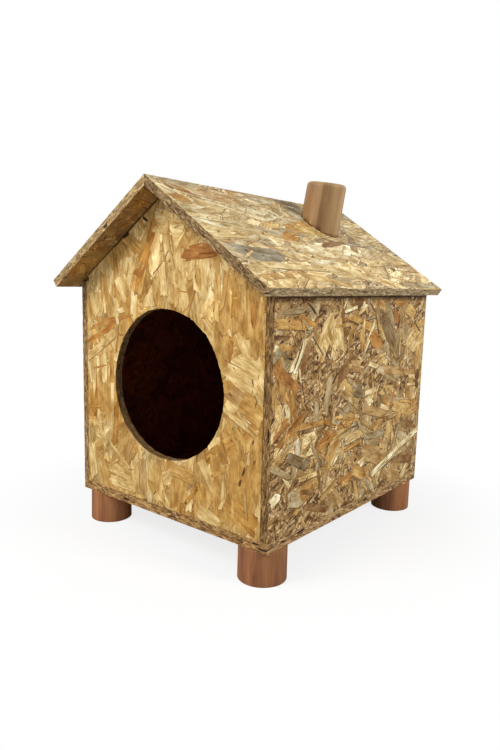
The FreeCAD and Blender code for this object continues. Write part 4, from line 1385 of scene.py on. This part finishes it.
def chimney():
    """The chimney's post, cut to a bevel that opens a little up the slope."""
    low, high = millimetres("chimney")
    ridge = millimetres("right_roof_panel")[1].z
    down = ridge - CHIMNEY_FROM_RIDGE * math.sin(ROOF_PITCH)
    toe = Vector((CHIMNEY_FROM_RIDGE * math.cos(ROOF_PITCH), (low.y + high.y) / 2, down))
    axis = Vector((math.sin(CHIMNEY_LEAN), 0, math.cos(CHIMNEY_LEAN)))
    sideways = Vector((math.cos(CHIMNEY_LEAN), 0, -math.sin(CHIMNEY_LEAN)))
    slope = ROOF_PITCH + CHIMNEY_ROCK
    normal = Vector((math.sin(slope), 0, math.cos(slope)))
    post = Post("chimney_post", CHIMNEY_RADIUS, CHIMNEY_LENGTH, toe - sideways * CHIMNEY_RADIUS, axis, sideways,
                31, CHIMNEY_TINTS_WITH_HIGHLIGHT, sizes=(1.02, 0.985), drop=0.85)
    piece = post.build(SPARE_EASE, CHIMNEY_ROUNDING, CHIMNEY_WOOD, -CHIMNEY_SPARE, (toe, normal))
    keep(piece, "chimney")


def plate_fasteners():
    """Gives the nails and screws their steel."""
    for name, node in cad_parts.items():
        if name.endswith(("nails", "screws", "screw")):
            node.data.materials.clear()
            node.data.materials.append(STEEL)


STRAND_FACE = strand_material("strand_face", False)
INNER_FACE = strand_material("inner_face", True)
SAWN_EDGE = sawn_material()
FOOT_WOOD = round_wood_material("foot_wood", FOOT_STOPS, pith=(14, -20), spacing=3.4, streaks=0.03)
CHIMNEY_WOOD = round_wood_material("chimney_wood", CHIMNEY_STOPS, pith=(-6, 18), spacing=4.2, streaks=0.03)
STEEL = steel_material()

front_gable()
back_gable()
side_board("right_side_panel", "right_side_board", 1, 13, RIGHT_WALL_FRONT_EDGE, SIDE_STRANDS,
           SIDE_MARKS + EAVE_SHADE_PAINTED)
side_board("left_side_panel", "left_side_board", -1, 14)
roof_board("right_roof_panel", "right_roof_board", 1, 15, RIGHT_ROOF_FRONT_EDGE, ROOF_STRANDS, ROOF_MARKS)
roof_board("left_roof_panel", "left_roof_board", -1, 16, LEFT_ROOF_FRONT_EDGE)
base()
foot("foot_front_left", 21, (1.0, 0.98), 1.20, 1.32)
foot("foot_front_right", 22, (1.03, 1.015), 1.08, 0.84)
foot("foot_back_left", 23, (1.0, 1.0), 1.05, 1.0)
foot("foot_back_right", 24, (1.0, 1.0), 1.15, 1.1)
chimney()
plate_fasteners()


def add_camera():
    """The camera where the photograph was taken from."""
    data = bpy.data.cameras.new("camera")
    data.sensor_width = SENSOR
    data.lens = FOCAL_PIXELS * SENSOR / IMAGE_LONG_SIDE
    data.clip_start, data.clip_end = 0.01, 50
    camera = add_object("camera", data)
    yaw, down = CAMERA_YAW, CAMERA_DOWN
    forward = Vector((-math.sin(yaw) * math.cos(down), math.cos(yaw) * math.cos(down), -math.sin(down)))
    level = Vector((math.cos(yaw), math.sin(yaw), 0))
    upright = level.cross(forward)
    right = math.cos(CAMERA_ROLL) * level + math.sin(CAMERA_ROLL) * upright
    up = math.cos(CAMERA_ROLL) * upright - math.sin(CAMERA_ROLL) * level
    turn = Matrix((right, up, -forward)).transposed().to_4x4()
    camera.matrix_world = Matrix.Translation(CAMERA_PLACE) @ turn
    bpy.context.scene.camera = camera


def add_lamp(name, place, size, power):
    """A round lamp that faces the house, its size in metres and its power in watts."""
    data = bpy.data.lights.new(name, "AREA")
    data.shape = "DISK"
    data.size = size
    data.energy = power
    lamp = add_object(name, data)
    lamp.location = place
    lamp.rotation_euler = (LAMP_TARGET - Vector(place)).to_track_quat("-Z", "Y").to_euler()


def add_world():
    """Soft light from all round, and white wherever the camera or a gloss sees past the object."""
    bpy.context.scene.world = bpy.data.worlds.new("studio")
    w = Wiring(bpy.context.scene.world)
    white = (1, 1, 1, 1)
    path = w.add("LightPath").outputs
    direct = w.math("MAXIMUM", path["Is Camera Ray"], path["Is Glossy Ray"])
    lit = w.add("Background", {"Color": white, "Strength": AMBIENT})
    seen = w.add("Background", {"Color": white})
    mix = w.add("MixShader", {0: direct, 1: lit.outputs[0], 2: seen.outputs[0]})
    w.add("OutputWorld", {"Surface": mix.outputs[0]})


def floor_material():
    """Pale, and for the camera white but for the soft shadow round the object."""
    w = Wiring(bpy.data.materials.new("floor"))
    x, y = w.position()[:2]
    away = w.math("SQRT", w.plus(w.times(x, x), w.times(y, y)))
    path = w.add("LightPath").outputs["Is Camera Ray"]
    share = w.times(w.smooth(away, SHADOW_NEAR, SHADOW_FAR, GLOW_NEAR, 1.0), path)
    matte = w.add("BsdfDiffuse", {"Color": w.mix(path, FLOOR_TONE, FLOOR_SEEN_TONE)})
    glow = w.add("Emission", {"Strength": 1.0})
    mix = w.add("MixShader", {0: share, 1: matte.outputs[0], 2: glow.outputs[0]})
    w.add("OutputMaterial", {"Surface": mix.outputs[0]})
    return w.owner


def add_floor():
    """A wide floor that takes the shadow."""
    corners = rectangle(-FLOOR_HALF, -FLOOR_HALF, FLOOR_HALF, FLOOR_HALF)
    mesh = bpy.data.meshes.new("floor")
    mesh.from_pydata([(*corner, 0) for corner in corners], [], [(0, 1, 2, 3)])
    mesh.materials.append(floor_material())
    floor = add_object("floor", mesh)


add_camera()
add_world()
add_floor()
add_lamp("key", (-0.5, -1.9, 1.9), 1.4, 48)
add_lamp("side", (2.0, 0.3, 1.45), 0.6, 26)
bpy.context.scene.view_settings.view_transform = "Standard"
